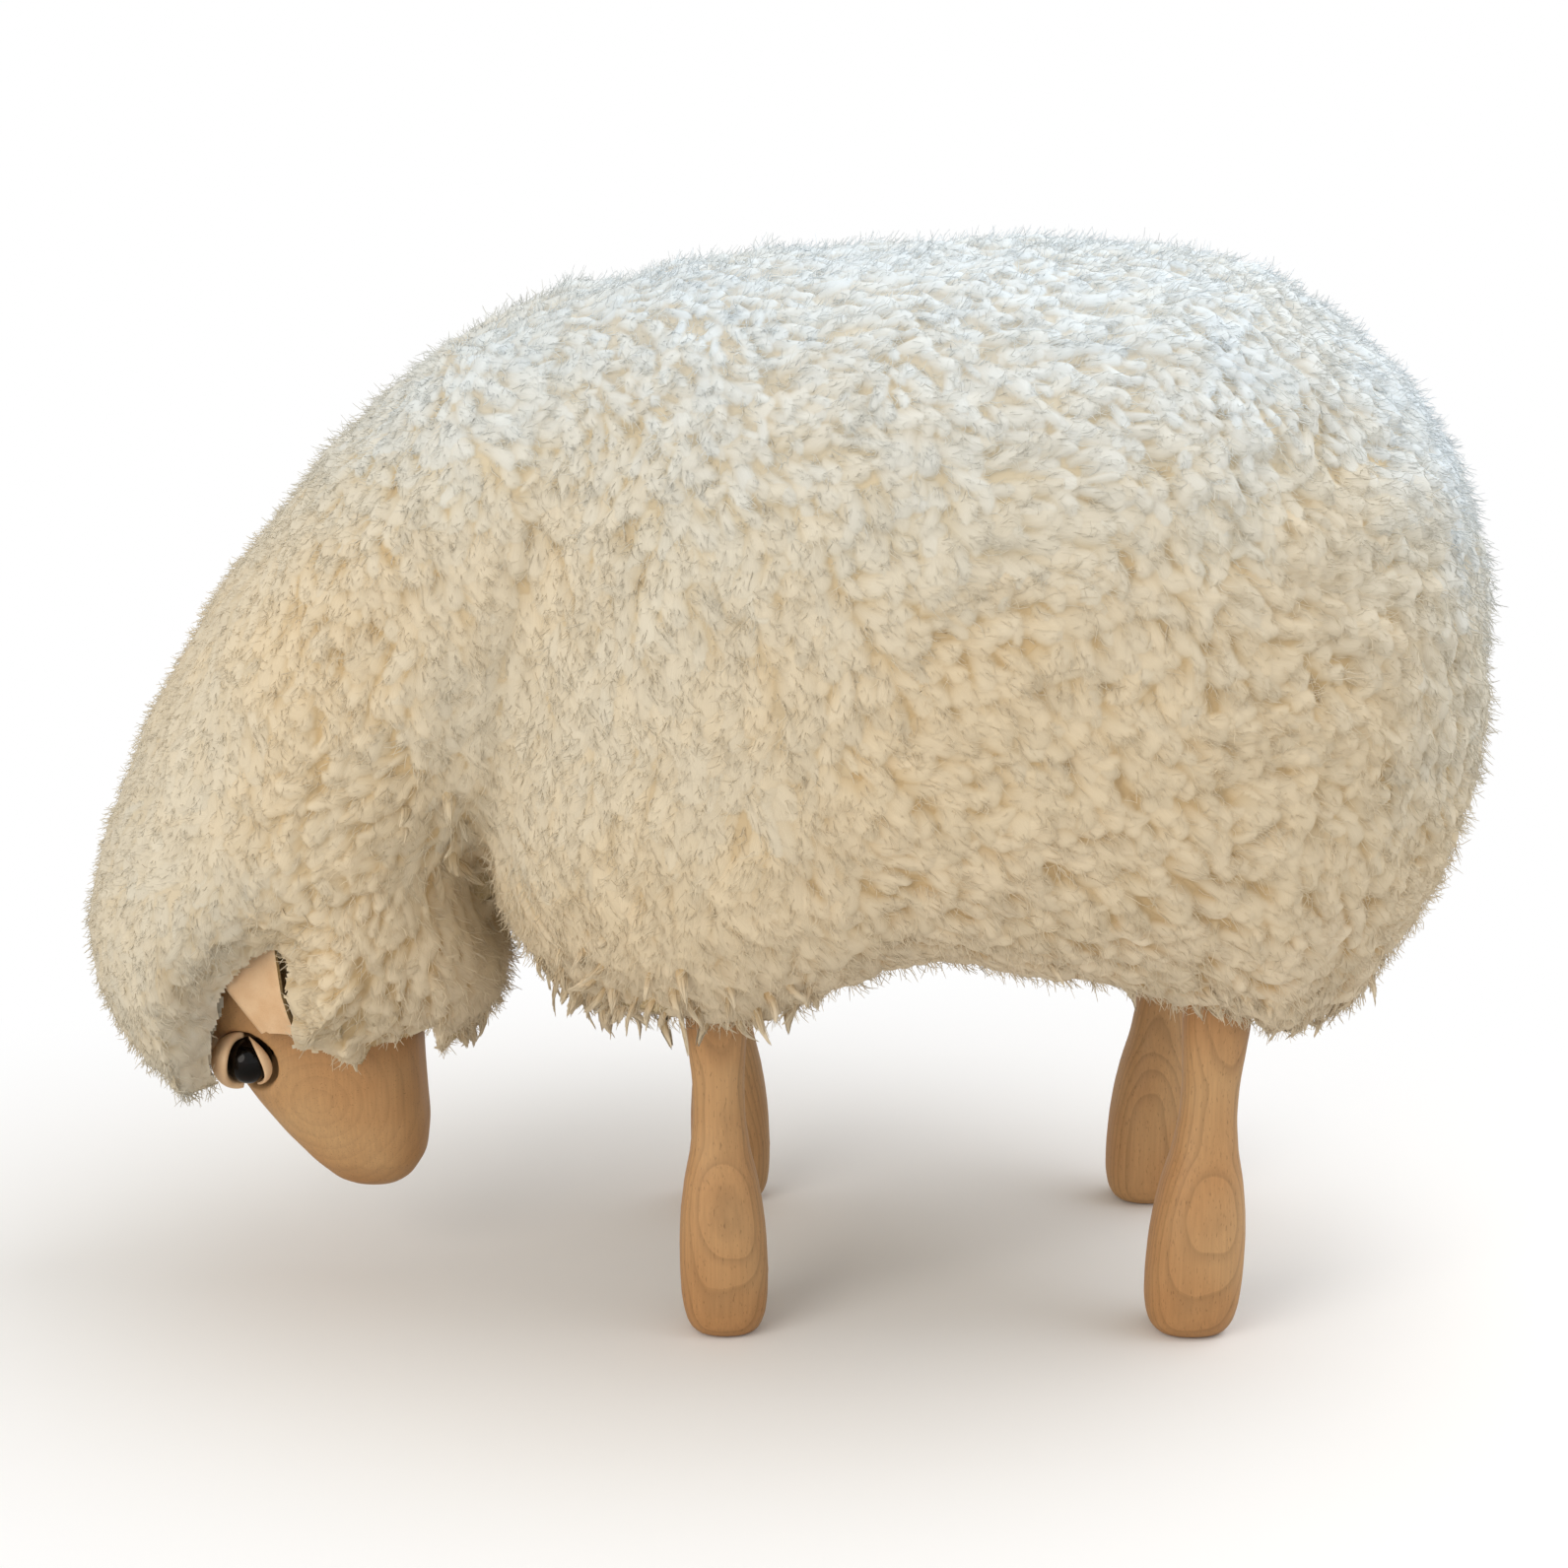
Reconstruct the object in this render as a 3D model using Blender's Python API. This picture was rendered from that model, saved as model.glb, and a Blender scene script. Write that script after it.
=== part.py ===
"""Footstool in the shape of a grazing sheep.

A box frame of boards stands on four carved beech legs. A bent beech arm carries the
carved head. Foam pads fill the sheepskin, which is sewn in three panels: body, neck
and head. The head points to -X, the rump to +X, the animal's left side to -Y. The
origin is on the floor under the middle of the stool.
"""
import math

import bmesh
import bpy
from mathutils import Vector

# Main sizes, in metres. The whole stool is 0.590 long, 0.330 wide and 0.446 high
BODY_LENGTH = 0.421
BODY_WIDTH = 0.330
BODY_DEPTH = 0.331
NECK_REACH = 0.169
NECK_WIDTH = 0.200
WOOL_DEPTH = 0.035
SKIRT_DROP = 0.0652
GAP = 0.0003
OVERRUN = 0.010

# Legs: band-sawn beech clubs with rounded edges
LEG_HEIGHT = 0.1802
LEG_WIDTH = 0.041
LEG_DEPTH = 0.038
FRONT_LEG_SLIM_SHARE = 0.91
LEG_SIDE_MARGIN = 0.037
FRONT_LEG_INSET = 0.1067
REAR_LEG_INSET = 0.1209
FRONT_LEG_LEAN = -0.0045
REAR_LEG_LEAN = 0.0100
LEG_CORNER_POWER = 2.5
LEG_BORE_DEPTH = 0.042
# Height along the leg and half width there, as shares of the leg's height and half width
LEG_PROFILE_SHARES = (
    (0.000, 0.640), (0.014, 0.800), (0.037, 0.900), (0.080, 0.975), (0.150, 1.000), (0.230, 0.985),
    (0.300, 0.930), (0.370, 0.830), (0.440, 0.680), (0.520, 0.590), (0.600, 0.585), (0.720, 0.680),
    (0.850, 0.740), (1.000, 0.750),
)

# Frame boards. The margins are measured from the ends and sides of the body
BASE_THICKNESS = 0.015
BASE_END_MARGIN = 0.0525
BASE_SIDE_MARGIN = 0.052
BASE_CORNER_POWER = 5.0
FRAME_END_MARGIN = 0.0725
FRAME_SIDE_MARGIN = 0.095
UPRIGHT_THICKNESS = 0.020
RAIL_THICKNESS = 0.018
RAIL_HEIGHT = 0.060
SEAT_THICKNESS = 0.012
SEAT_SIDE_MARGIN = 0.077
SEAT_CORNER_POWER = 5.0
SEAT_OVERHANG = 0.003
SEAT_FOAM_DEPTH = 0.0729
BELLY_MARGIN = 0.012
COVER_THICKNESS = 0.0015
COVER_HOLE_SHARE = 1.06

# Neck arm, bent through a quarter turn
ARM_THICKNESS = 0.022
ARM_DEPTH = 0.040
ARM_BEND_RADIUS = 0.068
ARM_SETBACK = 0.0608
ARM_HEIGHT_SHARE = 0.56
ARM_BEND_STEPS = 8

# Head block, carved from one piece of beech
HEAD_HEIGHT = 0.1635
HEAD_WIDTH = 0.074
HEAD_LENGTH = 0.105
HEAD_INSET = 0.040
HEAD_CORNER_POWER = 2.6
# Height, front and back edge and half width, as shares of the head's height, length and half width
HEAD_PROFILE_SHARES = (
    (0.000, 0.750, 0.800, 0.100), (0.008, 0.675, 0.870, 0.290), (0.035, 0.600, 0.930, 0.500),
    (0.090, 0.510, 0.985, 0.680), (0.172, 0.395, 1.000, 0.790), (0.255, 0.295, 0.992, 0.860),
    (0.345, 0.200, 0.985, 0.920), (0.450, 0.115, 0.982, 0.970), (0.560, 0.050, 0.978, 1.000),
    (0.730, 0.020, 0.970, 0.980), (0.880, 0.110, 0.950, 0.890), (0.960, 0.200, 0.920, 0.760),
    (1.000, 0.270, 0.890, 0.640),
)

# Eyes and lids, placed from the front, the side and the top of the head block
EYE_RADIUS = 0.0100
EYE_SETBACK = 0.0315
EYE_SIDE_DEPTH = 0.0102
EYE_DROP = 0.0995
EYE_FORWARD_ANGLE = math.radians(25.0)
EYE_STEM_RADIUS = 0.0025
EYE_STEM_LENGTH = 0.018
EYE_POLE_ANGLE = math.radians(6.0)
FRONT_LID_THICKNESS = 0.0034
REAR_LID_THICKNESS = 0.0020
SOCKET_CLEARANCE = 0.0012
LID_END_ANGLE = math.radians(64.0)
FRONT_LID_ANGLES = (math.radians(12.0), math.radians(80.0))
REAR_LID_ANGLES = (math.radians(-90.0), math.radians(-56.0))

# Ears: leather folded lengthwise, open to the rear
EAR_LENGTH = 0.047
EAR_FLAP_WIDTH = 0.0170
EAR_FOLD_RADIUS = 0.0040
EAR_OPENING = 0.0100
EAR_FOLD_EASE_SHARE = 0.35
EAR_FLAP_BOW_SHARE = 1 / 3
EAR_THICKNESS = 0.0022
EAR_SETBACK = 0.0205
EAR_DROP = 0.0460
EAR_DROP_ANGLE = math.radians(61.0)
# Distance down the ear, flap width and opening there, as shares of the ear's sizes
EAR_PROFILE_SHARES = (
    (0.00, 0.55, 0.25), (0.16, 0.82, 0.60), (0.34, 1.00, 1.00), (0.56, 1.00, 0.95),
    (0.76, 0.90, 0.72), (0.92, 0.62, 0.42), (1.00, 0.30, 0.22),
)
# Opening in the head's wool for the eye, the temple and the ear
FACE_OPENING_LENGTH = 0.090
FACE_OPENING_WIDTH = 0.060
FACE_OPENING_SETBACK = 0.0370
FACE_OPENING_DROP = 0.0750
FACE_OPENING_TILT = math.radians(16.0)
FACE_OPENING_POWER = 2.0

# Fasteners
BOLT_RADIUS = 0.0040
BOLT_HEADROOM = 0.006
BOLT_CHAMFER = 0.001
TEE_BARREL_WALL = 0.0012
TEE_FLANGE_RADIUS = 0.0105
TEE_FLANGE_THICKNESS = 0.0015
TEE_BARREL_LENGTH = 0.0110
SCREW_RADIUS = 0.0020
SCREW_HEAD_RADIUS = 0.0042
SCREW_HEAD_DEPTH = 0.0026
SCREW_LENGTH = 0.038
SCREW_TIP_LENGTH = 0.005
SEAT_SCREW_MARGIN = 0.022
BASE_SCREW_MARGIN = 0.030
NECK_BOLT_RADIUS = 0.0030
NECK_BOLT_HEAD_RADIUS = 0.0055
NECK_BOLT_HEAD_THICKNESS = 0.0040
NECK_BOLT_GRIP = 0.045
NECK_BOLT_SPACING = 0.020
DOWEL_RADIUS = 0.0040
DOWEL_LENGTH = 0.044
DOWEL_SPACING = 0.017
TACK_HEAD_RADIUS = 0.0032
TACK_HEAD_THICKNESS = 0.0010
TACK_SHANK_RADIUS = 0.0010
TACK_SHANK_LENGTH = 0.010
TACK_PLACE_SHARE = 0.16
TACK_BACK_SHARE = 0.45

# Facets round each kind of form
BODY_SEGMENTS = 28
PAD_SEGMENTS = 20
HEAD_SEGMENTS = 24
LEG_SEGMENTS = 16
BOARD_SEGMENTS = 32
EYE_SEGMENTS = 16
EYE_STEPS = 8
LID_COLUMNS = 5
LID_ROWS = 6
EAR_FOLD_STEPS = 4
ROUND_SEGMENTS = 10
SHARP_EDGE_ANGLE = math.radians(40.0)

# Body sections from the chest to the rump: place along the body, top, bottom and half width, as
# shares of the body's length, of the height from the hem to the top, and of the half width
BODY_SECTION_SHARES = (
    (0.000, 0.545, 0.257, 0.200), (0.025, 0.696, 0.159, 0.420), (0.065, 0.832, 0.086, 0.580),
    (0.120, 0.937, 0.041, 0.710), (0.200, 0.971, 0.000, 0.830), (0.300, 0.986, 0.015, 0.915),
    (0.420, 0.993, 0.106, 0.975), (0.550, 1.000, 0.095, 1.000), (0.680, 0.990, 0.060, 0.985),
    (0.780, 0.961, 0.011, 0.920), (0.860, 0.897, 0.053, 0.820), (0.920, 0.825, 0.155, 0.690),
    (0.965, 0.731, 0.255, 0.520), (0.990, 0.631, 0.343, 0.310), (1.000, 0.523, 0.408, 0.130),
)
BODY_WAIST_SHARE = 0.46
BODY_UPPER_POWER = 2.35
BODY_LOWER_POWER = 2.80
HOLLOW_LOWER_POWER = 4.50
# Neck and head sections: front point, back point and half width. The places are shares of the
# neck's reach ahead of the body and of the body's depth above its hem, the width a share of half
# the neck's width
NECK_SECTION_SHARES = (
    (-0.597, 0.923, -0.597, 0.213, 0.90), (-0.273, 0.950, -0.341, 0.224, 0.98),
    (0.016, 0.885, -0.154, 0.235, 1.00), (0.331, 0.751, -0.047, 0.237, 0.98),
    (0.616, 0.584, -0.005, 0.210, 0.94), (0.820, 0.410, -0.014, 0.177, 0.90),
)
HEAD_SECTION_SHARES = (
    (0.820, 0.410, -0.014, 0.177, 0.90), (0.941, 0.264, -0.056, 0.123, 0.88),
    (1.000, 0.154, -0.086, 0.077, 0.87), (0.991, 0.068, -0.072, 0.031, 0.83),
    (0.935, -0.008, -0.005, -0.004, 0.74), (0.860, -0.058, 0.084, -0.035, 0.60),
    (0.770, -0.077, 0.153, -0.047, 0.46),
)
NECK_POWER = 2.2

# Colours as display hex values, with roughness and metallic value
FINISHES = {
    "beech": ("B58C62", 0.55, 0.0),
    "plywood": ("C9A97C", 0.65, 0.0),
    "leather": ("D3AE88", 0.60, 0.0),
    "glass_black": ("080606", 0.05, 0.0),
    "wool": ("E2D8C4", 0.95, 0.0),
    "foam": ("E8E0C8", 0.90, 0.0),
    "cloth": ("C8BFA8", 0.90, 0.0),
    "steel": ("B8BABC", 0.35, 1.0),
}

# Sizes and places that follow from the sizes above
RUMP_X = (BODY_LENGTH + NECK_REACH) / 2
BODY_FRONT_X = RUMP_X - BODY_LENGTH
BODY_MID_X = RUMP_X - BODY_LENGTH / 2
HEM_HEIGHT = LEG_HEIGHT - SKIRT_DROP
BODY_TOP = HEM_HEIGHT + BODY_DEPTH
BASE_LENGTH = BODY_LENGTH - 2 * BASE_END_MARGIN
BASE_WIDTH = BODY_WIDTH - 2 * BASE_SIDE_MARGIN
FRAME_LENGTH = BODY_LENGTH - 2 * FRAME_END_MARGIN
FRAME_WIDTH = BODY_WIDTH - 2 * FRAME_SIDE_MARGIN
SEAT_WIDTH = BODY_WIDTH - 2 * SEAT_SIDE_MARGIN
BASE_BOTTOM = LEG_HEIGHT + GAP
BASE_TOP = BASE_BOTTOM + BASE_THICKNESS
FRAME_BOTTOM = BASE_TOP + GAP
SEAT_TOP = BODY_TOP - WOOL_DEPTH - SEAT_FOAM_DEPTH
SEAT_BOTTOM = SEAT_TOP - SEAT_THICKNESS
FRAME_TOP = SEAT_BOTTOM - GAP
LEG_TRACK = BASE_WIDTH - 2 * LEG_SIDE_MARGIN
FRONT_LEG_X = BODY_FRONT_X + FRONT_LEG_INSET
REAR_LEG_X = RUMP_X - REAR_LEG_INSET
FRAME_MID_X = (FRONT_LEG_X + FRONT_LEG_LEAN + REAR_LEG_X + REAR_LEG_LEAN) / 2
FRAME_FRONT_X = FRAME_MID_X - FRAME_LENGTH / 2
FRAME_REAR_X = FRAME_MID_X + FRAME_LENGTH / 2
SEAT_SCREW_SPACING = FRAME_WIDTH - 2 * SEAT_SCREW_MARGIN
BASE_SCREW_SPACING = FRAME_WIDTH - 2 * BASE_SCREW_MARGIN
ARM_MID_HEIGHT = FRAME_BOTTOM + (FRAME_TOP - FRAME_BOTTOM) * ARM_HEIGHT_SHARE
ARM_FOOT = ARM_MID_HEIGHT - ARM_BEND_RADIUS
ARM_ROOT_X = FRAME_FRONT_X - GAP
HEAD_TOP = ARM_FOOT - GAP
HEAD_BOTTOM = HEAD_TOP - HEAD_HEIGHT
HEAD_FRONT_X = BODY_FRONT_X - NECK_REACH + HEAD_INSET
ARM_FOOT_X = HEAD_FRONT_X + ARM_SETBACK
ARM_BEND_X = ARM_FOOT_X + ARM_BEND_RADIUS
SOCKET_RADIUS = EYE_RADIUS + FRONT_LID_THICKNESS + SOCKET_CLEARANCE
SIDES = (("left", -1), ("right", 1))


def remove_scene_objects():
    """Start from an empty scene."""
    for old in list(bpy.data.objects):
        bpy.data.objects.remove(old, do_unlink=True)


def linear(value):
    """One display colour channel, from 0 to 1, as linear light."""
    return value / 12.92 if value <= 0.04045 else ((value + 0.055) / 1.055) ** 2.4


def finish(name, part_name):
    """A material of its own for one part, with the colours of a named finish."""
    colour, roughness, metallic = FINISHES[name]
    material = bpy.data.materials.new(part_name)
    material.use_nodes = True
    shader = material.node_tree.nodes["Principled BSDF"]
    channels = [linear(int(colour[i:i + 2], 16) / 255) for i in (0, 2, 4)]
    shader.inputs["Base Color"].default_value = (*channels, 1.0)
    shader.inputs["Roughness"].default_value = roughness
    shader.inputs["Metallic"].default_value = metallic
    return material


def make_part(name, shape, finish_name, smooth=True):
    """Turn a bmesh into the named part, with its faces pointing out."""
    bmesh.ops.recalc_face_normals(shape, faces=shape.faces)
    mesh = bpy.data.meshes.new(name)
    shape.to_mesh(mesh)
    shape.free()
    part = bpy.data.objects.new(name, mesh)
    bpy.context.scene.collection.objects.link(part)
    part.data.materials.append(finish(finish_name, name))
    part.parent = STOOL
    if smooth:
        mesh.shade_smooth()
        mesh.set_sharp_from_angle(angle=SHARP_EDGE_ANGLE)
    return part


def make_cutter(name, shape):
    """A hidden tool body for a Boolean."""
    cutter = make_part(name, shape, "steel", smooth=False)
    cutter.hide_render = True
    cutter.display_type = "WIRE"
    return cutter


def boolean(part, cutter, operation):
    modifier = part.modifiers.new(cutter.name, "BOOLEAN")
    modifier.operation = operation
    modifier.solver = "EXACT"
    modifier.object = cutter


def cut(part, *cutters):
    """Take the cutters away from the part."""
    for cutter in cutters:
        boolean(part, cutter, "DIFFERENCE")


def keep_inside(part, *cutters):
    """Keep only what lies inside every cutter."""
    for cutter in cutters:
        boolean(part, cutter, "INTERSECT")


def superellipse(half_a, half_b, power, count, low_power=None):
    """Points round a rounded box outline. The lower half may have another power."""
    points = []
    for i in range(count):
        angle = 2 * math.pi * i / count
        c, s = math.cos(angle), math.sin(angle)
        bend = 2 / (low_power if low_power and s < 0 else power)
        a = half_a * math.copysign(abs(c) ** bend, c)
        b = half_b * math.copysign(abs(s) ** bend, s)
        points.append((a, b))
    return points


def loft(rings):
    """A closed skin through rings of equal length, with flat ends.

    Each patch is split along the same diagonal, so that nested skins stay parallel.
    """
    shape = bmesh.new()
    rows = [[shape.verts.new(point) for point in ring] for ring in rings]
    count = len(rows[0])
    for near, far in zip(rows, rows[1:]):
        for i in range(count):
            j = (i + 1) % count
            shape.faces.new((near[i], near[j], far[j]))
            shape.faces.new((near[i], far[j], far[i]))
    shape.faces.new(reversed(rows[0]))
    shape.faces.new(rows[-1])
    return shape


def prism(outline, bottom, top):
    """An outline in plan, raised from bottom to top."""
    return loft([[Vector((x, y, z)) for x, y in outline] for z in (bottom, top)])


def block(low, high):
    """A box from its lowest to its highest corner."""
    outline = ((low[0], low[1]), (high[0], low[1]), (high[0], high[1]), (low[0], high[1]))
    return prism(outline, low[2], high[2])


def lathe(profile, place, along, grow=0.0, count=ROUND_SEGMENTS):
    """Turn a profile of (distance along the axis, radius) about an axis through a place."""
    along = Vector(along).normalized()
    across = along.orthogonal().normalized()
    other = along.cross(across)
    rings = []
    for distance, radius in profile:
        ring = []
        for i in range(count):
            angle = 2 * math.pi * i / count
            spoke = across * math.cos(angle) + other * math.sin(angle)
            ring.append(Vector(place) + along * distance + spoke * (radius + grow))
        rings.append(ring)
    return loft(rings)


def body_rings(inset, count, lower_power=BODY_LOWER_POWER, floor=0):
    """Rings of the body's form, drawn in evenly by an inset and flattened at a floor."""
    along_scale = 1 - 2 * inset / BODY_LENGTH
    width_scale = 1 - 2 * inset / BODY_WIDTH
    depth_scale = 1 - 2 * inset / BODY_DEPTH
    body_mid_z = (HEM_HEIGHT + BODY_TOP) / 2
    rings = []
    for along, top, bottom, width in BODY_SECTION_SHARES:
        x = BODY_MID_X + (2 * along - 1) * BODY_LENGTH / 2 * along_scale
        top_z = body_mid_z + (2 * top - 1) * BODY_DEPTH / 2 * depth_scale
        bottom_z = max(body_mid_z + (2 * bottom - 1) * BODY_DEPTH / 2 * depth_scale, floor)
        waist_z = bottom_z + (top_z - bottom_z) * BODY_WAIST_SHARE
        half_width = BODY_WIDTH / 2 * width * width_scale
        outline = superellipse(half_width, 1.0, BODY_UPPER_POWER, count, lower_power)
        ring = []
        for y, height in outline:
            reach = top_z - waist_z if height > 0 else waist_z - bottom_z
            ring.append(Vector((x, y, waist_z + height * reach)))
        rings.append(ring)
    return rings


def neck_point(reach, rise):
    """A point of the neck from its shares of the reach and of the body's depth."""
    return Vector((BODY_FRONT_X - reach * NECK_REACH, 0, HEM_HEIGHT + rise * BODY_DEPTH))


def neck_rings(shares, inset, count):
    """Rings of the neck or the head, each from a front and a back point, drawn in by an inset."""
    rings = []
    for front_reach, front_rise, back_reach, back_rise, width in shares:
        front = neck_point(front_reach, front_rise)
        back = neck_point(back_reach, back_rise)
        middle = (front + back) / 2
        half = (front - back) / 2
        half -= half.normalized() * inset
        half_width = NECK_WIDTH / 2 * width - inset
        outline = superellipse(1.0, half_width, NECK_POWER, count)
        rings.append([middle + half * a + Vector((0, y, 0)) for a, y in outline])
    return rings


def past_seam(ring, distance):
    """A ring moved square across the seam between the neck and the head, towards the head."""
    front_reach, front_rise, back_reach, back_rise = HEAD_SECTION_SHARES[0][:4]
    run = neck_point(front_reach, front_rise) - neck_point(back_reach, back_rise)
    run.normalize()
    step = Vector((-run.z, 0, run.x)) * distance
    return [point + step for point in ring]


def head_rings(grow):
    """Rings of the carved head, level slices from the nose up to the crown."""
    rings = []
    for up, front, back, width in HEAD_PROFILE_SHARES:
        front_x = HEAD_FRONT_X + front * HEAD_LENGTH
        back_x = HEAD_FRONT_X + back * HEAD_LENGTH
        z = HEAD_BOTTOM + up * HEAD_HEIGHT + (2 * up - 1) * grow
        outline = superellipse((back_x - front_x) / 2 + grow, HEAD_WIDTH / 2 * width + grow,
                               HEAD_CORNER_POWER, HEAD_SEGMENTS)
        rings.append([Vector(((front_x + back_x) / 2 + x, y, z)) for x, y in outline])
    return rings


def base_outline(margin):
    """Plan of the base board, drawn in by a margin."""
    half_length = BASE_LENGTH / 2 - margin
    half_width = BASE_WIDTH / 2 - margin
    outline = superellipse(half_length, half_width, BASE_CORNER_POWER, BOARD_SEGMENTS)
    return [(FRAME_MID_X + x, y) for x, y in outline]


def arm_outline(grow):
    """Side view of the neck arm: a straight root and a quarter bend down to the head."""
    half = ARM_DEPTH / 2 + grow
    root_x = ARM_ROOT_X + grow
    foot_z = ARM_FOOT - grow
    outer, inner = [], []
    for i in range(ARM_BEND_STEPS + 1):
        angle = math.pi / 2 * (1 + i / ARM_BEND_STEPS)
        c, s = math.cos(angle), math.sin(angle)
        for side, radius in ((outer, ARM_BEND_RADIUS + half), (inner, ARM_BEND_RADIUS - half)):
            side.append((ARM_BEND_X + radius * c, ARM_FOOT + radius * s))
    outer[-1] = (outer[-1][0], foot_z)
    inner[-1] = (inner[-1][0], foot_z)
    root_high = (root_x, ARM_MID_HEIGHT + half)
    root_low = (root_x, ARM_MID_HEIGHT - half)
    return [root_high] + outer + inner[::-1] + [root_low]


def arm_shape(grow):
    half = ARM_THICKNESS / 2 + grow
    return loft([[Vector((x, y, z)) for x, z in arm_outline(grow)] for y in (-half, half)])


def screw_profile(overrun=0.0):
    """A countersunk wood screw, from its head down to its tip."""
    return ((-overrun, SCREW_HEAD_RADIUS), (0, SCREW_HEAD_RADIUS), (SCREW_HEAD_DEPTH, SCREW_RADIUS),
            (SCREW_LENGTH - SCREW_TIP_LENGTH, SCREW_RADIUS), (SCREW_LENGTH, SCREW_RADIUS / 2))


def make_screw(name, place, along, *held):
    """A screw and its holes in the boards that it joins."""
    screw = make_part(name, lathe(screw_profile()[1:], place, along), "steel")
    hole_profile = list(screw_profile(OVERRUN)[:-1]) + [(SCREW_LENGTH + GAP, SCREW_RADIUS)]
    hole = make_cutter(name + "_hole", lathe(hole_profile, place, along, GAP))
    for board in held:
        cut(board, hole)
    return screw


def make_legs(base):
    """Four carved legs, each with its hanger bolt and tee nut."""
    legs = []
    nut_rooms = []
    ends = (
        ("front", FRONT_LEG_X, FRONT_LEG_LEAN, FRONT_LEG_SLIM_SHARE),
        ("rear", REAR_LEG_X, REAR_LEG_LEAN, 1),
    )
    for end, foot_x, lean, slim in ends:
        for side, sign in SIDES:
            y = sign * LEG_TRACK / 2
            rings = []
            for up, width in LEG_PROFILE_SHARES:
                half_width = LEG_WIDTH / 2 * width * slim
                half_depth = LEG_DEPTH / 2 * width * slim
                outline = superellipse(half_width, half_depth, LEG_CORNER_POWER, LEG_SEGMENTS)
                middle = Vector((foot_x + lean * up, y, LEG_HEIGHT * up))
                rings.append([middle + Vector((a, b, 0)) for a, b in outline])
            leg = make_part("leg_%s_%s" % (end, side), loft(rings), "beech")
            nut_rooms.append(add_leg_fasteners(leg, base, "%s_%s" % (end, side), foot_x + lean, y))
            legs.append((foot_x + lean, y, rings[-1]))
    return legs, nut_rooms


def add_leg_fasteners(leg, base, place_name, x, y):
    """The hanger bolt runs up out of the leg through the base board and its tee nut.

    Returns a cutter that clears the room round the nut and the bolt's end.
    """
    up = (0, 0, 1)
    bore_floor = LEG_HEIGHT - LEG_BORE_DEPTH
    bolt_top = FRAME_BOTTOM + TEE_FLANGE_THICKNESS + BOLT_HEADROOM
    bolt_length = bolt_top - bore_floor - GAP
    bolt_profile = (
        (0, BOLT_RADIUS - BOLT_CHAMFER), (BOLT_CHAMFER, BOLT_RADIUS),
        (bolt_length - BOLT_CHAMFER, BOLT_RADIUS), (bolt_length, BOLT_RADIUS - BOLT_CHAMFER),
    )
    make_part("leg_bolt_" + place_name, lathe(bolt_profile, (x, y, bore_floor + GAP), up), "steel")
    bore_radius = BOLT_RADIUS + GAP
    bore_profile = ((0, bore_radius), (bolt_length + OVERRUN, bore_radius))
    bore = make_cutter("leg_bore_" + place_name, lathe(bore_profile, (x, y, bore_floor), up))
    cut(leg, bore)
    barrel_radius = bore_radius + TEE_BARREL_WALL
    nut_bottom = FRAME_BOTTOM - TEE_BARREL_LENGTH
    nut_height = TEE_BARREL_LENGTH + TEE_FLANGE_THICKNESS
    nut_profile = (
        (0, barrel_radius), (TEE_BARREL_LENGTH, barrel_radius),
        (TEE_BARREL_LENGTH, TEE_FLANGE_RADIUS), (nut_height, TEE_FLANGE_RADIUS),
    )
    nut = make_part("tee_nut_" + place_name, lathe(nut_profile, (x, y, nut_bottom), up), "steel")
    cut(nut, bore)
    hole_radius = barrel_radius + GAP
    hole_profile = ((0, hole_radius), (BASE_THICKNESS + 2 * OVERRUN, hole_radius))
    hole_place = (x, y, BASE_BOTTOM - OVERRUN)
    cut(base, make_cutter("tee_hole_" + place_name, lathe(hole_profile, hole_place, up)))
    room_radius = TEE_FLANGE_RADIUS + GAP
    room_height = bolt_top + GAP - BASE_TOP
    room = lathe(((0, room_radius), (room_height, room_radius)), (x, y, BASE_TOP), up)
    return make_cutter("nut_room_" + place_name, room)


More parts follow.
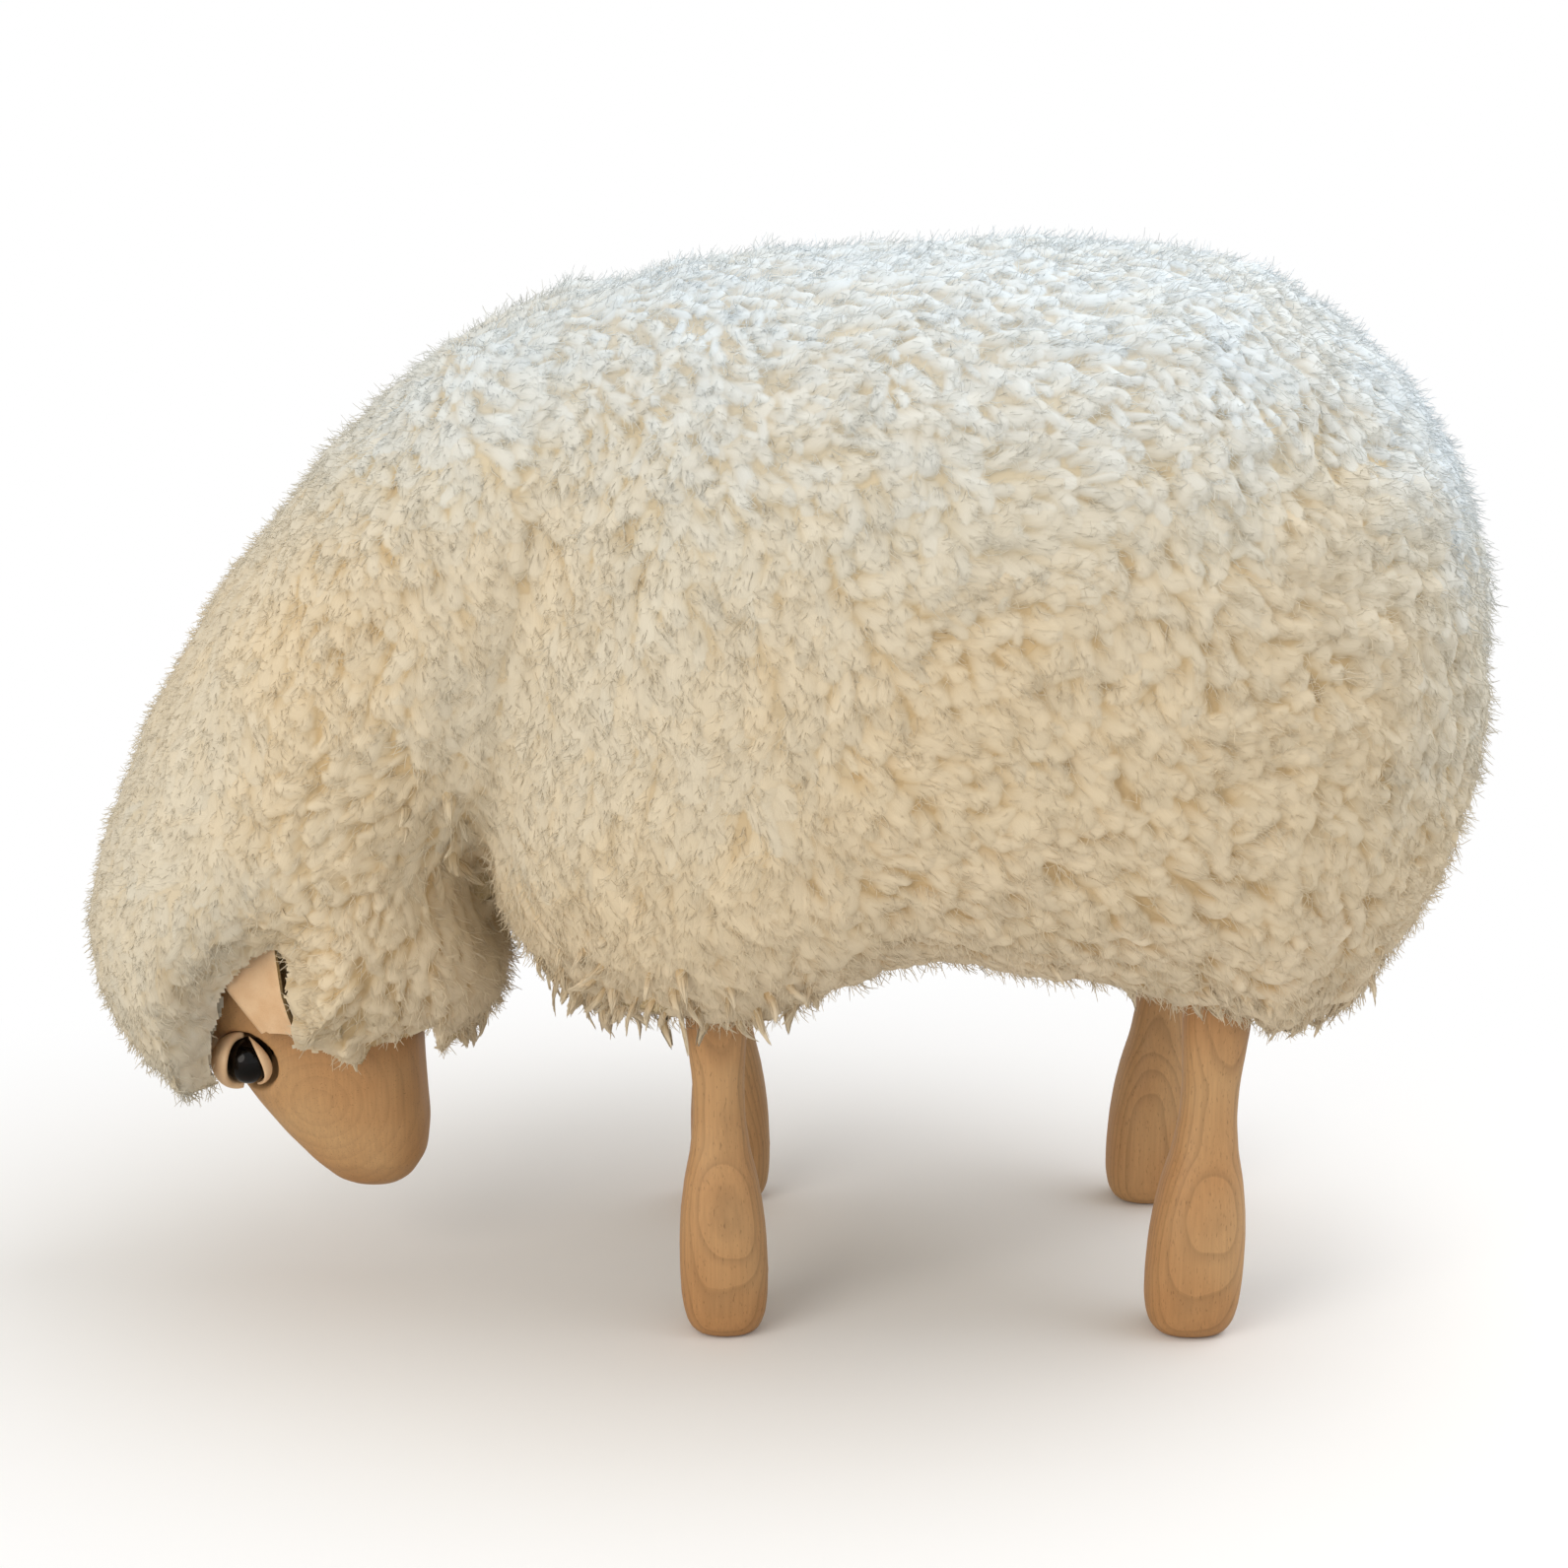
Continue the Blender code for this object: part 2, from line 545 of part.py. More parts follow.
def make_frame():
    """Base board, uprights, rails and seat board, screwed together."""
    half = FRAME_WIDTH / 2
    base = make_part("base_board", prism(base_outline(0), BASE_BOTTOM, BASE_TOP), "plywood", smooth=False)
    shoulder_inner_x = FRAME_FRONT_X + UPRIGHT_THICKNESS
    hip_inner_x = FRAME_REAR_X - UPRIGHT_THICKNESS
    shoulder_shape = block((FRAME_FRONT_X, -half, FRAME_BOTTOM), (shoulder_inner_x, half, FRAME_TOP))
    shoulder = make_part("shoulder_board", shoulder_shape, "beech", smooth=False)
    hip_shape = block((hip_inner_x, -half, FRAME_BOTTOM), (FRAME_REAR_X, half, FRAME_TOP))
    hip = make_part("hip_board", hip_shape, "beech", smooth=False)
    half_seat = FRAME_LENGTH / 2 + SEAT_OVERHANG
    seat_outline = superellipse(half_seat, SEAT_WIDTH / 2, SEAT_CORNER_POWER, BOARD_SEGMENTS)
    seat_plan = [(FRAME_MID_X + x, y) for x, y in seat_outline]
    seat = make_part("seat_board", prism(seat_plan, SEAT_BOTTOM, SEAT_TOP), "plywood", smooth=False)
    rail_bottom = FRAME_TOP - RAIL_HEIGHT
    rail_front_x = shoulder_inner_x + GAP
    rail_rear_x = hip_inner_x - GAP
    ends = (("front", shoulder, FRAME_FRONT_X, 1), ("rear", hip, FRAME_REAR_X, -1))
    for side, sign in SIDES:
        low_y, high_y = sorted((sign * (half - RAIL_THICKNESS), sign * half))
        rail_shape = block((rail_front_x, low_y, rail_bottom), (rail_rear_x, high_y, FRAME_TOP))
        rail = make_part("side_rail_" + side, rail_shape, "beech", smooth=False)
        rail_y = (low_y + high_y) / 2
        rail_z = FRAME_TOP - RAIL_HEIGHT / 2
        seat_y = sign * SEAT_SCREW_SPACING / 2
        base_y = sign * BASE_SCREW_SPACING / 2
        for end, upright, face_x, inward in ends:
            place_name = "%s_%s" % (end, side)
            x = face_x + inward * UPRIGHT_THICKNESS / 2
            make_screw("rail_screw_" + place_name, (face_x, rail_y, rail_z), (inward, 0, 0), upright, rail)
            make_screw("seat_screw_" + place_name, (x, seat_y, SEAT_TOP), (0, 0, -1), seat, upright)
            make_screw("base_screw_" + place_name, (x, base_y, BASE_BOTTOM), (0, 0, 1), base, upright)
    return base, shoulder


def make_neck_arm(shoulder):
    """The arm, bolted to the shoulder board and ready for the head's dowels."""
    arm = make_part("neck_arm", arm_shape(0), "beech")
    forward = (-1, 0, 0)
    head_x = FRAME_FRONT_X + UPRIGHT_THICKNESS + GAP + NECK_BOLT_HEAD_THICKNESS
    bolt_length = NECK_BOLT_HEAD_THICKNESS + UPRIGHT_THICKNESS + NECK_BOLT_GRIP
    bolt_profile = (
        (0, NECK_BOLT_HEAD_RADIUS), (NECK_BOLT_HEAD_THICKNESS, NECK_BOLT_HEAD_RADIUS),
        (NECK_BOLT_HEAD_THICKNESS, NECK_BOLT_RADIUS), (bolt_length, NECK_BOLT_RADIUS),
    )
    hole_profile = ((0, NECK_BOLT_RADIUS + GAP), (bolt_length + GAP, NECK_BOLT_RADIUS + GAP))
    for name, step in (("upper", 1), ("lower", -1)):
        place = (head_x, 0, ARM_MID_HEIGHT + step * NECK_BOLT_SPACING / 2)
        make_part("neck_bolt_" + name, lathe(bolt_profile, place, forward), "steel")
        hole = make_cutter("neck_bolt_hole_" + name, lathe(hole_profile, place, forward))
        cut(shoulder, hole)
        cut(arm, hole)
    return arm


def make_head(arm):
    """The head block, its dowels, eyes, lids, ears and tacks."""
    head = make_part("head_block", loft(head_rings(0)), "beech")
    up = (0, 0, 1)
    dowel_profile = ((0, DOWEL_RADIUS), (DOWEL_LENGTH, DOWEL_RADIUS))
    hole_profile = ((-GAP, DOWEL_RADIUS + GAP), (DOWEL_LENGTH + GAP, DOWEL_RADIUS + GAP))
    for name, step in (("front", -1), ("rear", 1)):
        place = (ARM_FOOT_X + step * DOWEL_SPACING / 2, 0, HEAD_TOP - DOWEL_LENGTH / 2)
        make_part("neck_dowel_" + name, lathe(dowel_profile, place, up), "beech")
        hole = make_cutter("neck_dowel_hole_" + name, lathe(hole_profile, place, up))
        cut(head, hole)
        cut(arm, hole)
    for side, sign in SIDES:
        make_eye(head, side, sign)
        make_ear(head, side, sign)


def ball_on_stem(ball_radius, stem_radius, stem_length):
    """Profile of a round stem that swells into a ball round the starting place."""
    profile = [(-stem_length, stem_radius)]
    start = math.pi - math.asin(stem_radius / ball_radius)
    for i in range(EYE_STEPS + 1):
        angle = start + (EYE_POLE_ANGLE - start) * i / EYE_STEPS
        profile.append((ball_radius * math.cos(angle), ball_radius * math.sin(angle)))
    return profile


def make_eye(head, side, sign):
    """A glass ball on a stem, in a socket that two leather lids line."""
    centre_y = sign * (HEAD_WIDTH / 2 - EYE_SIDE_DEPTH)
    centre = Vector((HEAD_FRONT_X + EYE_SETBACK, centre_y, HEAD_TOP - EYE_DROP))
    outward = Vector((-math.sin(EYE_FORWARD_ANGLE), sign * math.cos(EYE_FORWARD_ANGLE), 0))
    ball_profile = ball_on_stem(EYE_RADIUS, EYE_STEM_RADIUS, EYE_STEM_LENGTH)
    make_part("eye_" + side, lathe(ball_profile, centre, outward, count=EYE_SEGMENTS), "glass_black")
    socket_profile = ball_on_stem(SOCKET_RADIUS, EYE_STEM_RADIUS + GAP, EYE_STEM_LENGTH + GAP)
    socket = lathe(socket_profile, centre, outward, count=EYE_SEGMENTS)
    cut(head, make_cutter("eye_socket_" + side, socket))
    front_lid = lid_shape(centre, outward, sign, FRONT_LID_ANGLES, FRONT_LID_THICKNESS)
    make_part("front_eyelid_" + side, front_lid, "leather")
    rear_lid = lid_shape(centre, outward, sign, REAR_LID_ANGLES, REAR_LID_THICKNESS)
    make_part("rear_eyelid_" + side, rear_lid, "leather")


def lid_shape(centre, outward, sign, angles, thickness):
    """A patch of a thick ball skin, between two angles turned forward from the eye's axis."""
    upright = Vector((0, 0, 1))
    forward = Vector((-outward.y * sign, outward.x * sign, 0))
    inner_radius = EYE_RADIUS + GAP
    outer_radius = inner_radius + thickness
    there = range(LID_COLUMNS + 1)
    back_again = range(LID_COLUMNS, -1, -1)
    rings = []
    for i in range(LID_ROWS + 1):
        lift = LID_END_ANGLE * (2 * i / LID_ROWS - 1)
        ring = []
        for radius, order in ((inner_radius, there), (outer_radius, back_again)):
            for j in order:
                turn = angles[0] + (angles[1] - angles[0]) * j / LID_COLUMNS
                level = outward * math.cos(turn) + forward * math.sin(turn)
                ring.append(centre + (level * math.cos(lift) + upright * math.sin(lift)) * radius)
        rings.append(ring)
    return loft(rings)


def ear_section(flap, opening):
    """Outline of the folded leather: far flap, fold and near flap, as (back, out) points."""
    centre_line = [(flap, 0), (flap / 2, 0)]
    radius = EAR_FOLD_RADIUS * min(1, opening + EAR_FOLD_EASE_SHARE)
    for i in range(EAR_FOLD_STEPS + 1):
        angle = -math.pi / 2 - math.pi * i / EAR_FOLD_STEPS
        centre_line.append((radius + radius * math.cos(angle), radius + radius * math.sin(angle)))
    lift = EAR_OPENING * opening
    centre_line.append((flap / 2, 2 * radius + lift * EAR_FLAP_BOW_SHARE))
    centre_line.append((flap, 2 * radius + lift))
    inside, outside = [], []
    for i, point in enumerate(centre_line):
        before = centre_line[max(i - 1, 0)]
        after = centre_line[min(i + 1, len(centre_line) - 1)]
        dx, dy = after[0] - before[0], after[1] - before[1]
        length = math.hypot(dx, dy)
        offset = (dy / length * EAR_THICKNESS / 2, -dx / length * EAR_THICKNESS / 2)
        inside.append((point[0] + offset[0], point[1] + offset[1]))
        outside.append((point[0] - offset[0], point[1] - offset[1]))
    return inside + outside[::-1]


def make_ear(head, side, sign):
    """The folded ear hangs from a tack in the side of the head."""
    down = Vector((math.cos(EAR_DROP_ANGLE), 0, -math.sin(EAR_DROP_ANGLE)))
    back = Vector((math.sin(EAR_DROP_ANGLE), 0, math.cos(EAR_DROP_ANGLE)))
    out = Vector((0, sign, 0))
    seat_y = HEAD_WIDTH / 2 + EAR_THICKNESS / 2 + GAP
    base = Vector((HEAD_FRONT_X + EAR_SETBACK, sign * seat_y, HEAD_TOP - EAR_DROP))
    rings = []
    for along, flap, opening in EAR_PROFILE_SHARES:
        origin = base + down * (EAR_LENGTH * along)
        section = ear_section(EAR_FLAP_WIDTH * flap, opening)
        rings.append([origin + back * b + out * o for b, o in section])
    ear = make_part("ear_" + side, loft(rings), "leather")
    face = EAR_THICKNESS / 2 + GAP
    place = base + down * (EAR_LENGTH * TACK_PLACE_SHARE) + back * (EAR_FLAP_WIDTH * TACK_BACK_SHARE)
    tack_profile = (
        (-face - TACK_HEAD_THICKNESS, TACK_HEAD_RADIUS), (-face, TACK_HEAD_RADIUS),
        (-face, TACK_SHANK_RADIUS), (TACK_SHANK_LENGTH, TACK_SHANK_RADIUS),
    )
    make_part("ear_tack_" + side, lathe(tack_profile, place, -out), "steel")
    hole_profile = ((-face, TACK_SHANK_RADIUS + GAP), (TACK_SHANK_LENGTH + GAP, TACK_SHANK_RADIUS + GAP))
    hole = make_cutter("ear_tack_hole_" + side, lathe(hole_profile, place, -out))
    cut(ear, hole)
    cut(head, hole)


def make_fleece(base_cutters, head_cutter, arm_cutter):
    """The three sheepskin panels, each drawn at the mean height of its lock tips."""
    body = make_part("fleece_body", loft(body_rings(0, BODY_SEGMENTS)), "wool")
    neck = make_part("fleece_neck", loft(neck_rings(NECK_SECTION_SHARES, 0, HEAD_SEGMENTS)), "wool")
    crown_rings = neck_rings(HEAD_SECTION_SHARES, 0, HEAD_SEGMENTS)
    crown_rings[0] = past_seam(crown_rings[0], GAP)
    crown = make_part("fleece_head", loft(crown_rings), "wool")
    body_skin = make_cutter("body_skin", loft(body_rings(-GAP, BODY_SEGMENTS)))
    hollow_rings = body_rings(WOOL_DEPTH, PAD_SEGMENTS, HOLLOW_LOWER_POWER, BASE_BOTTOM)
    body_hollow = make_cutter("body_hollow", loft(hollow_rings))
    neck_hollow_rings = neck_rings(NECK_SECTION_SHARES, WOOL_DEPTH - GAP, PAD_SEGMENTS)
    neck_hollow_rings.append(past_seam(neck_hollow_rings[-1], OVERRUN))
    neck_hollow = make_cutter("neck_hollow", loft(neck_hollow_rings))
    cut(body, body_hollow, neck_hollow, arm_cutter, *base_cutters)
    cut(neck, head_cutter, body_skin, neck_hollow)
    cut(crown, body_skin, head_cutter, arm_cutter, make_cutter("face_opening", face_opening_shape()))
    return body_hollow


def face_opening_shape():
    """A tilted oval tunnel across the head, bare of wool for the eyes and the ears."""
    half_width = FACE_OPENING_WIDTH / 2
    half_length = FACE_OPENING_LENGTH / 2
    mid_x = HEAD_FRONT_X + FACE_OPENING_SETBACK
    mid_z = HEAD_TOP - FACE_OPENING_DROP
    c, s = math.cos(FACE_OPENING_TILT), math.sin(FACE_OPENING_TILT)
    points = []
    for a, b in superellipse(half_width, half_length, FACE_OPENING_POWER, HEAD_SEGMENTS):
        points.append((mid_x + a * c + b * s, mid_z - a * s + b * c))
    return loft([[Vector((x, y, z)) for x, z in points] for y in (-NECK_WIDTH, NECK_WIDTH)])


def make_padding(body_hollow, head_cutter, arm_cutter):
    """Foam pads between the frame and the hide."""
    far = BODY_LENGTH + NECK_REACH
    edge = SEAT_WIDTH / 2 + GAP
    front_x = FRAME_FRONT_X - SEAT_OVERHANG
    rear_x = FRAME_REAR_X + SEAT_OVERHANG
    boxes = {
        "seat_foam": ((-far, -far, SEAT_TOP + GAP), (far, far, far)),
        "flank_foam_left": ((front_x, -far, FRAME_BOTTOM), (rear_x, -edge, SEAT_TOP)),
        "flank_foam_right": ((front_x, edge, FRAME_BOTTOM), (rear_x, far, SEAT_TOP)),
        "chest_foam": ((-far, -far, FRAME_BOTTOM), (front_x - GAP, far, SEAT_TOP)),
        "rump_foam": ((rear_x + GAP, -far, FRAME_BOTTOM), (far, far, SEAT_TOP)),
    }
    for name, (low, high) in boxes.items():
        rings = body_rings(WOOL_DEPTH + GAP, PAD_SEGMENTS, HOLLOW_LOWER_POWER, BASE_BOTTOM + GAP)
        pad = make_part(name, loft(rings), "foam")
        keep_inside(pad, make_cutter(name + "_room", block(low, high)))
        if name == "chest_foam":
            cut(pad, arm_cutter)
    neck = make_part("neck_foam", loft(neck_rings(NECK_SECTION_SHARES, WOOL_DEPTH, PAD_SEGMENTS)), "foam")
    cut(neck, head_cutter, body_hollow, arm_cutter)


def make_dust_cover(legs):
    """Cloth under the base board, with a hole round each leg."""
    top = BASE_BOTTOM - GAP
    bottom = top - COVER_THICKNESS
    sheet = prism(base_outline(BELLY_MARGIN + GAP), bottom, top)
    cover = make_part("dust_cover", sheet, "cloth", smooth=False)
    for i, (x, y, ring) in enumerate(legs):
        plan = []
        for point in ring:
            plan.append((x + (point.x - x) * COVER_HOLE_SHARE, y + (point.y - y) * COVER_HOLE_SHARE))
        cut(cover, make_cutter("cover_hole_%d" % i, prism(plan, bottom - OVERRUN, top + OVERRUN)))


remove_scene_objects()
STOOL = bpy.data.objects.new("stool", None)
bpy.context.scene.collection.objects.link(STOOL)

base_board, shoulder_board = make_frame()
leg_tops, nut_rooms = make_legs(base_board)
neck_arm = make_neck_arm(shoulder_board)
make_head(neck_arm)
grown_head = make_cutter("grown_head", loft(head_rings(GAP)))
grown_arm = make_cutter("grown_arm", arm_shape(GAP))
belly_opening = make_cutter("belly_opening", prism(base_outline(BELLY_MARGIN), 0, BASE_BOTTOM + OVERRUN))
base_room = make_cutter("base_room", prism(base_outline(-GAP), BASE_BOTTOM - GAP, BASE_TOP + GAP))
hollow = make_fleece((belly_opening, base_room, *nut_rooms), grown_head, grown_arm)
make_padding(hollow, grown_head, grown_arm)
make_dust_cover(leg_tops)
bpy.context.view_layer.update()
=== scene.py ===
import math
from itertools import product
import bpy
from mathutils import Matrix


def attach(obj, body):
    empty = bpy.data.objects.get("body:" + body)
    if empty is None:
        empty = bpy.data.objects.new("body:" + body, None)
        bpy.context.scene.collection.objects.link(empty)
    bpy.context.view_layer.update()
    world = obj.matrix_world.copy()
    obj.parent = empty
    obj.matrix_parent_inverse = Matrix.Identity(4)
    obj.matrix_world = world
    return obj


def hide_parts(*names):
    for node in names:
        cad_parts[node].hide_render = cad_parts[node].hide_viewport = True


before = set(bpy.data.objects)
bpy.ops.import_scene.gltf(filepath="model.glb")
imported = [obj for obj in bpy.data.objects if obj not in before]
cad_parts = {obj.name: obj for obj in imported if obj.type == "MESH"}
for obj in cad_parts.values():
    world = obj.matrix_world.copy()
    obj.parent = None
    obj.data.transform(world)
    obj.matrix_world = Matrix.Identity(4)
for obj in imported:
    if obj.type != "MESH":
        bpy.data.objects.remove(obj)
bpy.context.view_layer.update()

from types import SimpleNamespace

import bmesh
import bpy
import numpy as np
from mathutils import Vector
from mathutils.bvhtree import BVHTree

# The grazing sheep footstool, dressed: curly sheepskin over foam, carved beech head and
# legs, glass eyes, leather lids and ears. Sizes are in metres, the head points to -X and
# the animal's left side to -Y

# CAD nodes and sides
FLEECE_NODES = ("fleece_body", "fleece_neck", "fleece_head")
FOAM_NODES = ("seat_foam", "flank_foam_left", "flank_foam_right", "chest_foam", "rump_foam", "neck_foam")
CORE_NODES = ("base_board", "seat_board", "shoulder_board", "hip_board", "neck_arm", "head_block")
SIDES = (("left", -1), ("right", 1))

# Middle line of the body and the neck in side view, from the rump down to the head
SPINE = ((0.230, 0.300), (-0.030, 0.300), (-0.160, 0.290), (-0.205, 0.200), (-0.205, 0.140))

# Skin of the fleece, how deep the hide lies under it, and the test for air in front of a place:
# how far ahead it looks, and from which lean it is needed
HIDE_VOXEL = 0.0038
SKIN_ROUNDS = 8
HIDE_COARSER = 1.3
HIDE_DEPTH = 0.0100
HIDE_LEAST_DEPTH = 0.0050
FLEECE_DEPTH = 0.0034
AIR_TEST = 0.004
OUTWARD = 0.6

# Edge of the wool round the bare face in side view, as (x, z, half width of the wool there):
# up past the eye, over the ear's root and down its open edge, along the cheek's lower edge
# and back under the muzzle
FACE_EDGE = (
    (-0.2335, 0.1234, 0.0430), (-0.2315, 0.1342, 0.0460), (-0.2280, 0.1400, 0.0490),
    (-0.2140, 0.1550, 0.0570), (-0.2035, 0.1600, 0.0580), (-0.1998, 0.1500, 0.0580),
    (-0.2012, 0.1400, 0.0580), (-0.1986, 0.1215, 0.0560),
    (-0.1995, 0.1131, 0.0490), (-0.1873, 0.1122, 0.0460), (-0.1813, 0.1053, 0.0450),
    (-0.1731, 0.1040, 0.0450), (-0.1687, 0.1122, 0.0450), (-0.1583, 0.1148, 0.0440),
    (-0.1416, 0.1213, 0.0440), (-0.1400, 0.0300, 0.0440), (-0.2300, 0.0300, 0.0300),
    (-0.2330, 0.0925, 0.0390), (-0.2368, 0.1000, 0.0410), (-0.2362, 0.1148, 0.0420),
)
BARE_FACE = tuple(place[:2] for place in FACE_EDGE)
CLIPPED_END = -0.10
CLIPPED_WIDTH = 0.030
FACE_WOOL_SWELL = 0.012
FACE_WOOL_ROUND = 0.008
FACE_WOOL_SLOPE = 0.60
FACE_CUT = 0.2

# An ellipse over the bare face in side view, by which the wool near it is measured: middle,
# half sizes and tilt. The larger half sizes and the two widths are those of the solids that
# close the face for the locks to lie on
FACE_MIDDLE = (-0.2180, 0.1255)
FACE_HALF = (0.0300, 0.0450)
FACE_TILT = math.radians(16.0)
COVER_HALF = (0.034, 0.050)
COVER_WIDTHS = (0.0385, 0.0700)
COVER_POINTS = 32
FACE_NEAR = 1.6
HEAD_HALF_WIDTH = 0.0400
BROW_BOTTOM = 0.0945
BROW_ROUND = 0.004

# Where one zone of the wool fades into the next, or where one ends, along X or up Z
NECK_END = (-0.16, -0.11)
NECK_CUT = -0.128
HEAD_END = -0.13
CHEEK_TOP = 0.135
CHIN_END = -0.12
BEHIND_EAR = (-0.215, -0.200)
BROW_END = (-0.248, -0.200)
BROW_LEVEL = 0.16
BROW_SLANT = 0.22
SHOULDER_END = (-0.03, 0.05)
SHOULDER_TOP = (0.28, 0.36)
COMBED_SHOULDER_END = (-0.02, 0.06)
COMBED_SHOULDER_TOP = (0.34, 0.41)
BACK_START = (-0.14, -0.05)
BACK_BOTTOM = (0.33, 0.42)
RIDGE_BOTTOM = (0.36, 0.44)
CHEST_END = (-0.11, -0.09)
SKIRT_TOP = (0.13, 0.185)
COMBED_SKIRT_TOP = (0.135, 0.19)

# The way the locks are combed in each zone
FLANK_LIE = (0.80, 0.0, -0.62)
SHOULDER_LIE = (-0.02, 0.0, -1.0)
NECK_LIE = (-0.42, 0.0, -0.90)
SKIRT_LIE = (0.10, 0.0, -1.0)
BEHIND_EAR_LIE = (-1.0, 0.0, -0.35)

# Length, half width and height of a flank's lock, and what the shoulder, back, brow and neck
# add to each
LOCK_SIZES = np.array((
    (0.0165, 0.0080, -0.0040, 0.0040, -0.0020),
    (0.0046, -0.0008, -0.0014, -0.0006, -0.0006),
    (0.0044, -0.0018, -0.0002, -0.0034, 0.0),
))
LOCK_SPACING = 0.0050
TRIES_PER_LOCK = 3.0
LENGTH_RANGE = (0.70, 1.30)
HEIGHT_RANGE = (0.65, 1.25)
WIDTH_SPREAD = 0.25
COMB_SPREAD = 0.28
CURL_SPREAD = 0.8

# The wool's tint, from 0, pale cream, over warmer cream, to 1, cool white: its level and how it strays at
# random, and what the back, neck, rump, low flank and shoulder add to it, with where each rises along X
# and up Z. A span from high to low is a fall. These zones are painted light: the wool is paler and cooler
# where light falls from above and from the rear, on the back, neck, rump and shoulder, and warmer, with
# tanner roots, low on the flank
TINT_LEVEL = 0.30
TINT_DRIFT = 0.06
TINT_SPREAD = 0.03
PAINTED_LIGHT_ZONES = (
    (0.68, None, (0.27, 0.45)),
    (0.22, (-0.185, -0.235), (0.34, 0.24)),
    (0.34, (0.20, 0.29), (0.17, 0.30)),
    (-0.26, (-0.19, -0.12), (0.26, 0.14)),
)
# Painted light: the shoulder's wool is paler and cooler.
SHOULDER_PAINTED_LIGHT = 0.12

# A lock's shape: its width and height at the root as shares of the full ones, the places along
# it where it is wide and where its tip starts to close, and how deep it reaches
ROOT_WIDTH = 0.62
ROOT_HEIGHT = 0.30
LOCK_WIDE = 0.5
LOCK_TIP = 0.72
LOCK_REACH = 0.012
CELL = 0.010

# The merged surface: how finely it is divided and how far its locks run into each other
FLEECE_STEPS = 2
PATCH_SIDE = 2 ** FLEECE_STEPS
PATCH_FACES = 4 ** FLEECE_STEPS
PATCHES_PER_PIECE = 5900
TRIANGLES_PER_PIECE = 180000
MERGE_POWER = 6.0
MERGE_ROUNDS = 2
SMOOTH_EDGE_ROUNDS = 6
SMOOTH_SHOULDER = 0.75
SOFT_SHARE = 0.35
SMOOTH_SOFTER = 0.3
WAVE_HEIGHT = 0.0012
WAVE_SIZE = 0.012
RAGGED_EDGE = 0.0011

# Loose tufts, with sizes as shares of a lock's, and single fibres, which are drawn coarser than
# real ones so that they show
HEM_CHANCE = 0.85
CHIN_CHANCE = 0.35
TUFT_LENGTH = (0.45, 0.78)
TUFT_WIDTH = (0.32, 0.56)
TUFT_SIDES = 6
TUFT_RINGS = 7
TUFT_PROFILE = (0.90, 1.05, 1.02, 0.90, 0.70, 0.45, 0.16)
TUFT_ROOT_DEPTH = 0.0055
TUFT_FLATNESS = 0.65
TUFT_LEAST = 0.4
TIP_LENGTH = 0.22
STRANDS = 12
FIBRE_SIDES = 3
FIBRE_RINGS = 3
FIBRE_RADIUS = 0.00024
FUZZ_FIBRES = 90000
FUZZ_LENGTH = (0.0035, 0.0080)
FUZZ_SPREAD = 0.0004
FUZZ_LOW = 0.6

# Steps of tone and tint in the baked map, and how far apart the locks lie in the fibres' map
TONES = 24
TINTS = 16
LOCK_MAP_STEP = 17.3

# Wood: the pith that the growth rings run round, and its turn, for each leg and the head
CARVED_VOXEL = 0.0014
LEG_ROUNDS = 30
HEAD_ROUNDS = 24
LEG_PITHS = {
    "leg_front_left": ((-0.020, 0.010, 0.030), (0.05, 0.0, 0.02)),
    "leg_front_right": ((-0.020, -0.010, 0.030), (-0.04, 0.02, 0.3)),
    "leg_rear_left": ((0.176, 0.000, 0.030), (0.06, -0.02, 0.0)),
    "leg_rear_right": ((0.176, 0.000, 0.030), (-0.05, 0.03, 0.4)),
}
HEAD_PITH = ((-0.190, 0.0, 0.082), (1.45, 0.12, 0.0))
FRAME_PITH = ((0.08, 0.02, 0.05), (0.0, 1.5, 0.0))

# Eyes: middle of the right one, mirrored for the left, radius, turn to the front, far end of
# the stem as its distance from the middle and its radius, and the stem's width where it meets
# the ball as a share of the ball's
EYE_MIDDLE = (-0.2235, 0.0268, 0.1010)
EYE_RADIUS = 0.0100
EYE_TURN = math.radians(25.0)
EYE_STEM = (-0.0178, 0.0023)
STEM_SHARE = 0.25
EYE_POLE = math.radians(3)
EYE_RINGS = 30
EYE_SIDES = 48

# Lids: the turns of the two edges round the eye, slant, reach up and down, thickness and the
# lift of the middle, with turns, reach and lift in degrees
LIDS = {
    "front": (11, 94, -0.10, 80, 0.0054, 2),
    "rear": (-88, -63, 0.32, 76, 0.0022, 6),
}
LID_CLEARANCE = 0.0004
LID_CUT_EDGE = 0.72
LID_COLUMNS = 18
LID_ROWS = 36

# Ears, in sections down the fold: place, width of the outer and the inner flap, slant of the
# rear edge, radius of the fold and how far the outer flap stands open
EAR_SECTIONS = np.array((
    (-0.0080, 0.0270, 0.0300, -0.0050, 0.0035, 0.0050),
    (0.0000, 0.0315, 0.0360, -0.0036, 0.0038, 0.0090),
    (0.0060, 0.0268, 0.0330, -0.0006, 0.0038, 0.0105),
    (0.0125, 0.0212, 0.0262, 0.0028, 0.0036, 0.0098),
    (0.0190, 0.0170, 0.0205, 0.0060, 0.0033, 0.0078),
    (0.0249, 0.0140, 0.0155, 0.0087, 0.0028, 0.0055),
))
EAR_BASE = (-0.2290, 0.0388, 0.1393)
EAR_DOWN = (0.574, 0.0, -0.819)
EAR_BACK = (0.819, 0.0, 0.574)
EAR_THICKNESS = 0.0016
EAR_ROWS = 28
SHARP_EDGE = math.radians(50)

# Foam and dust cover
FOAM_VOXEL = 0.007
FOAM_ROUNDS = 3
CLOTH_THICKNESS = 0.0006
CLOTH_GRID = 0.007
CLOTH_SAG = 0.0006
CLOTH_RIPPLE = 0.0003

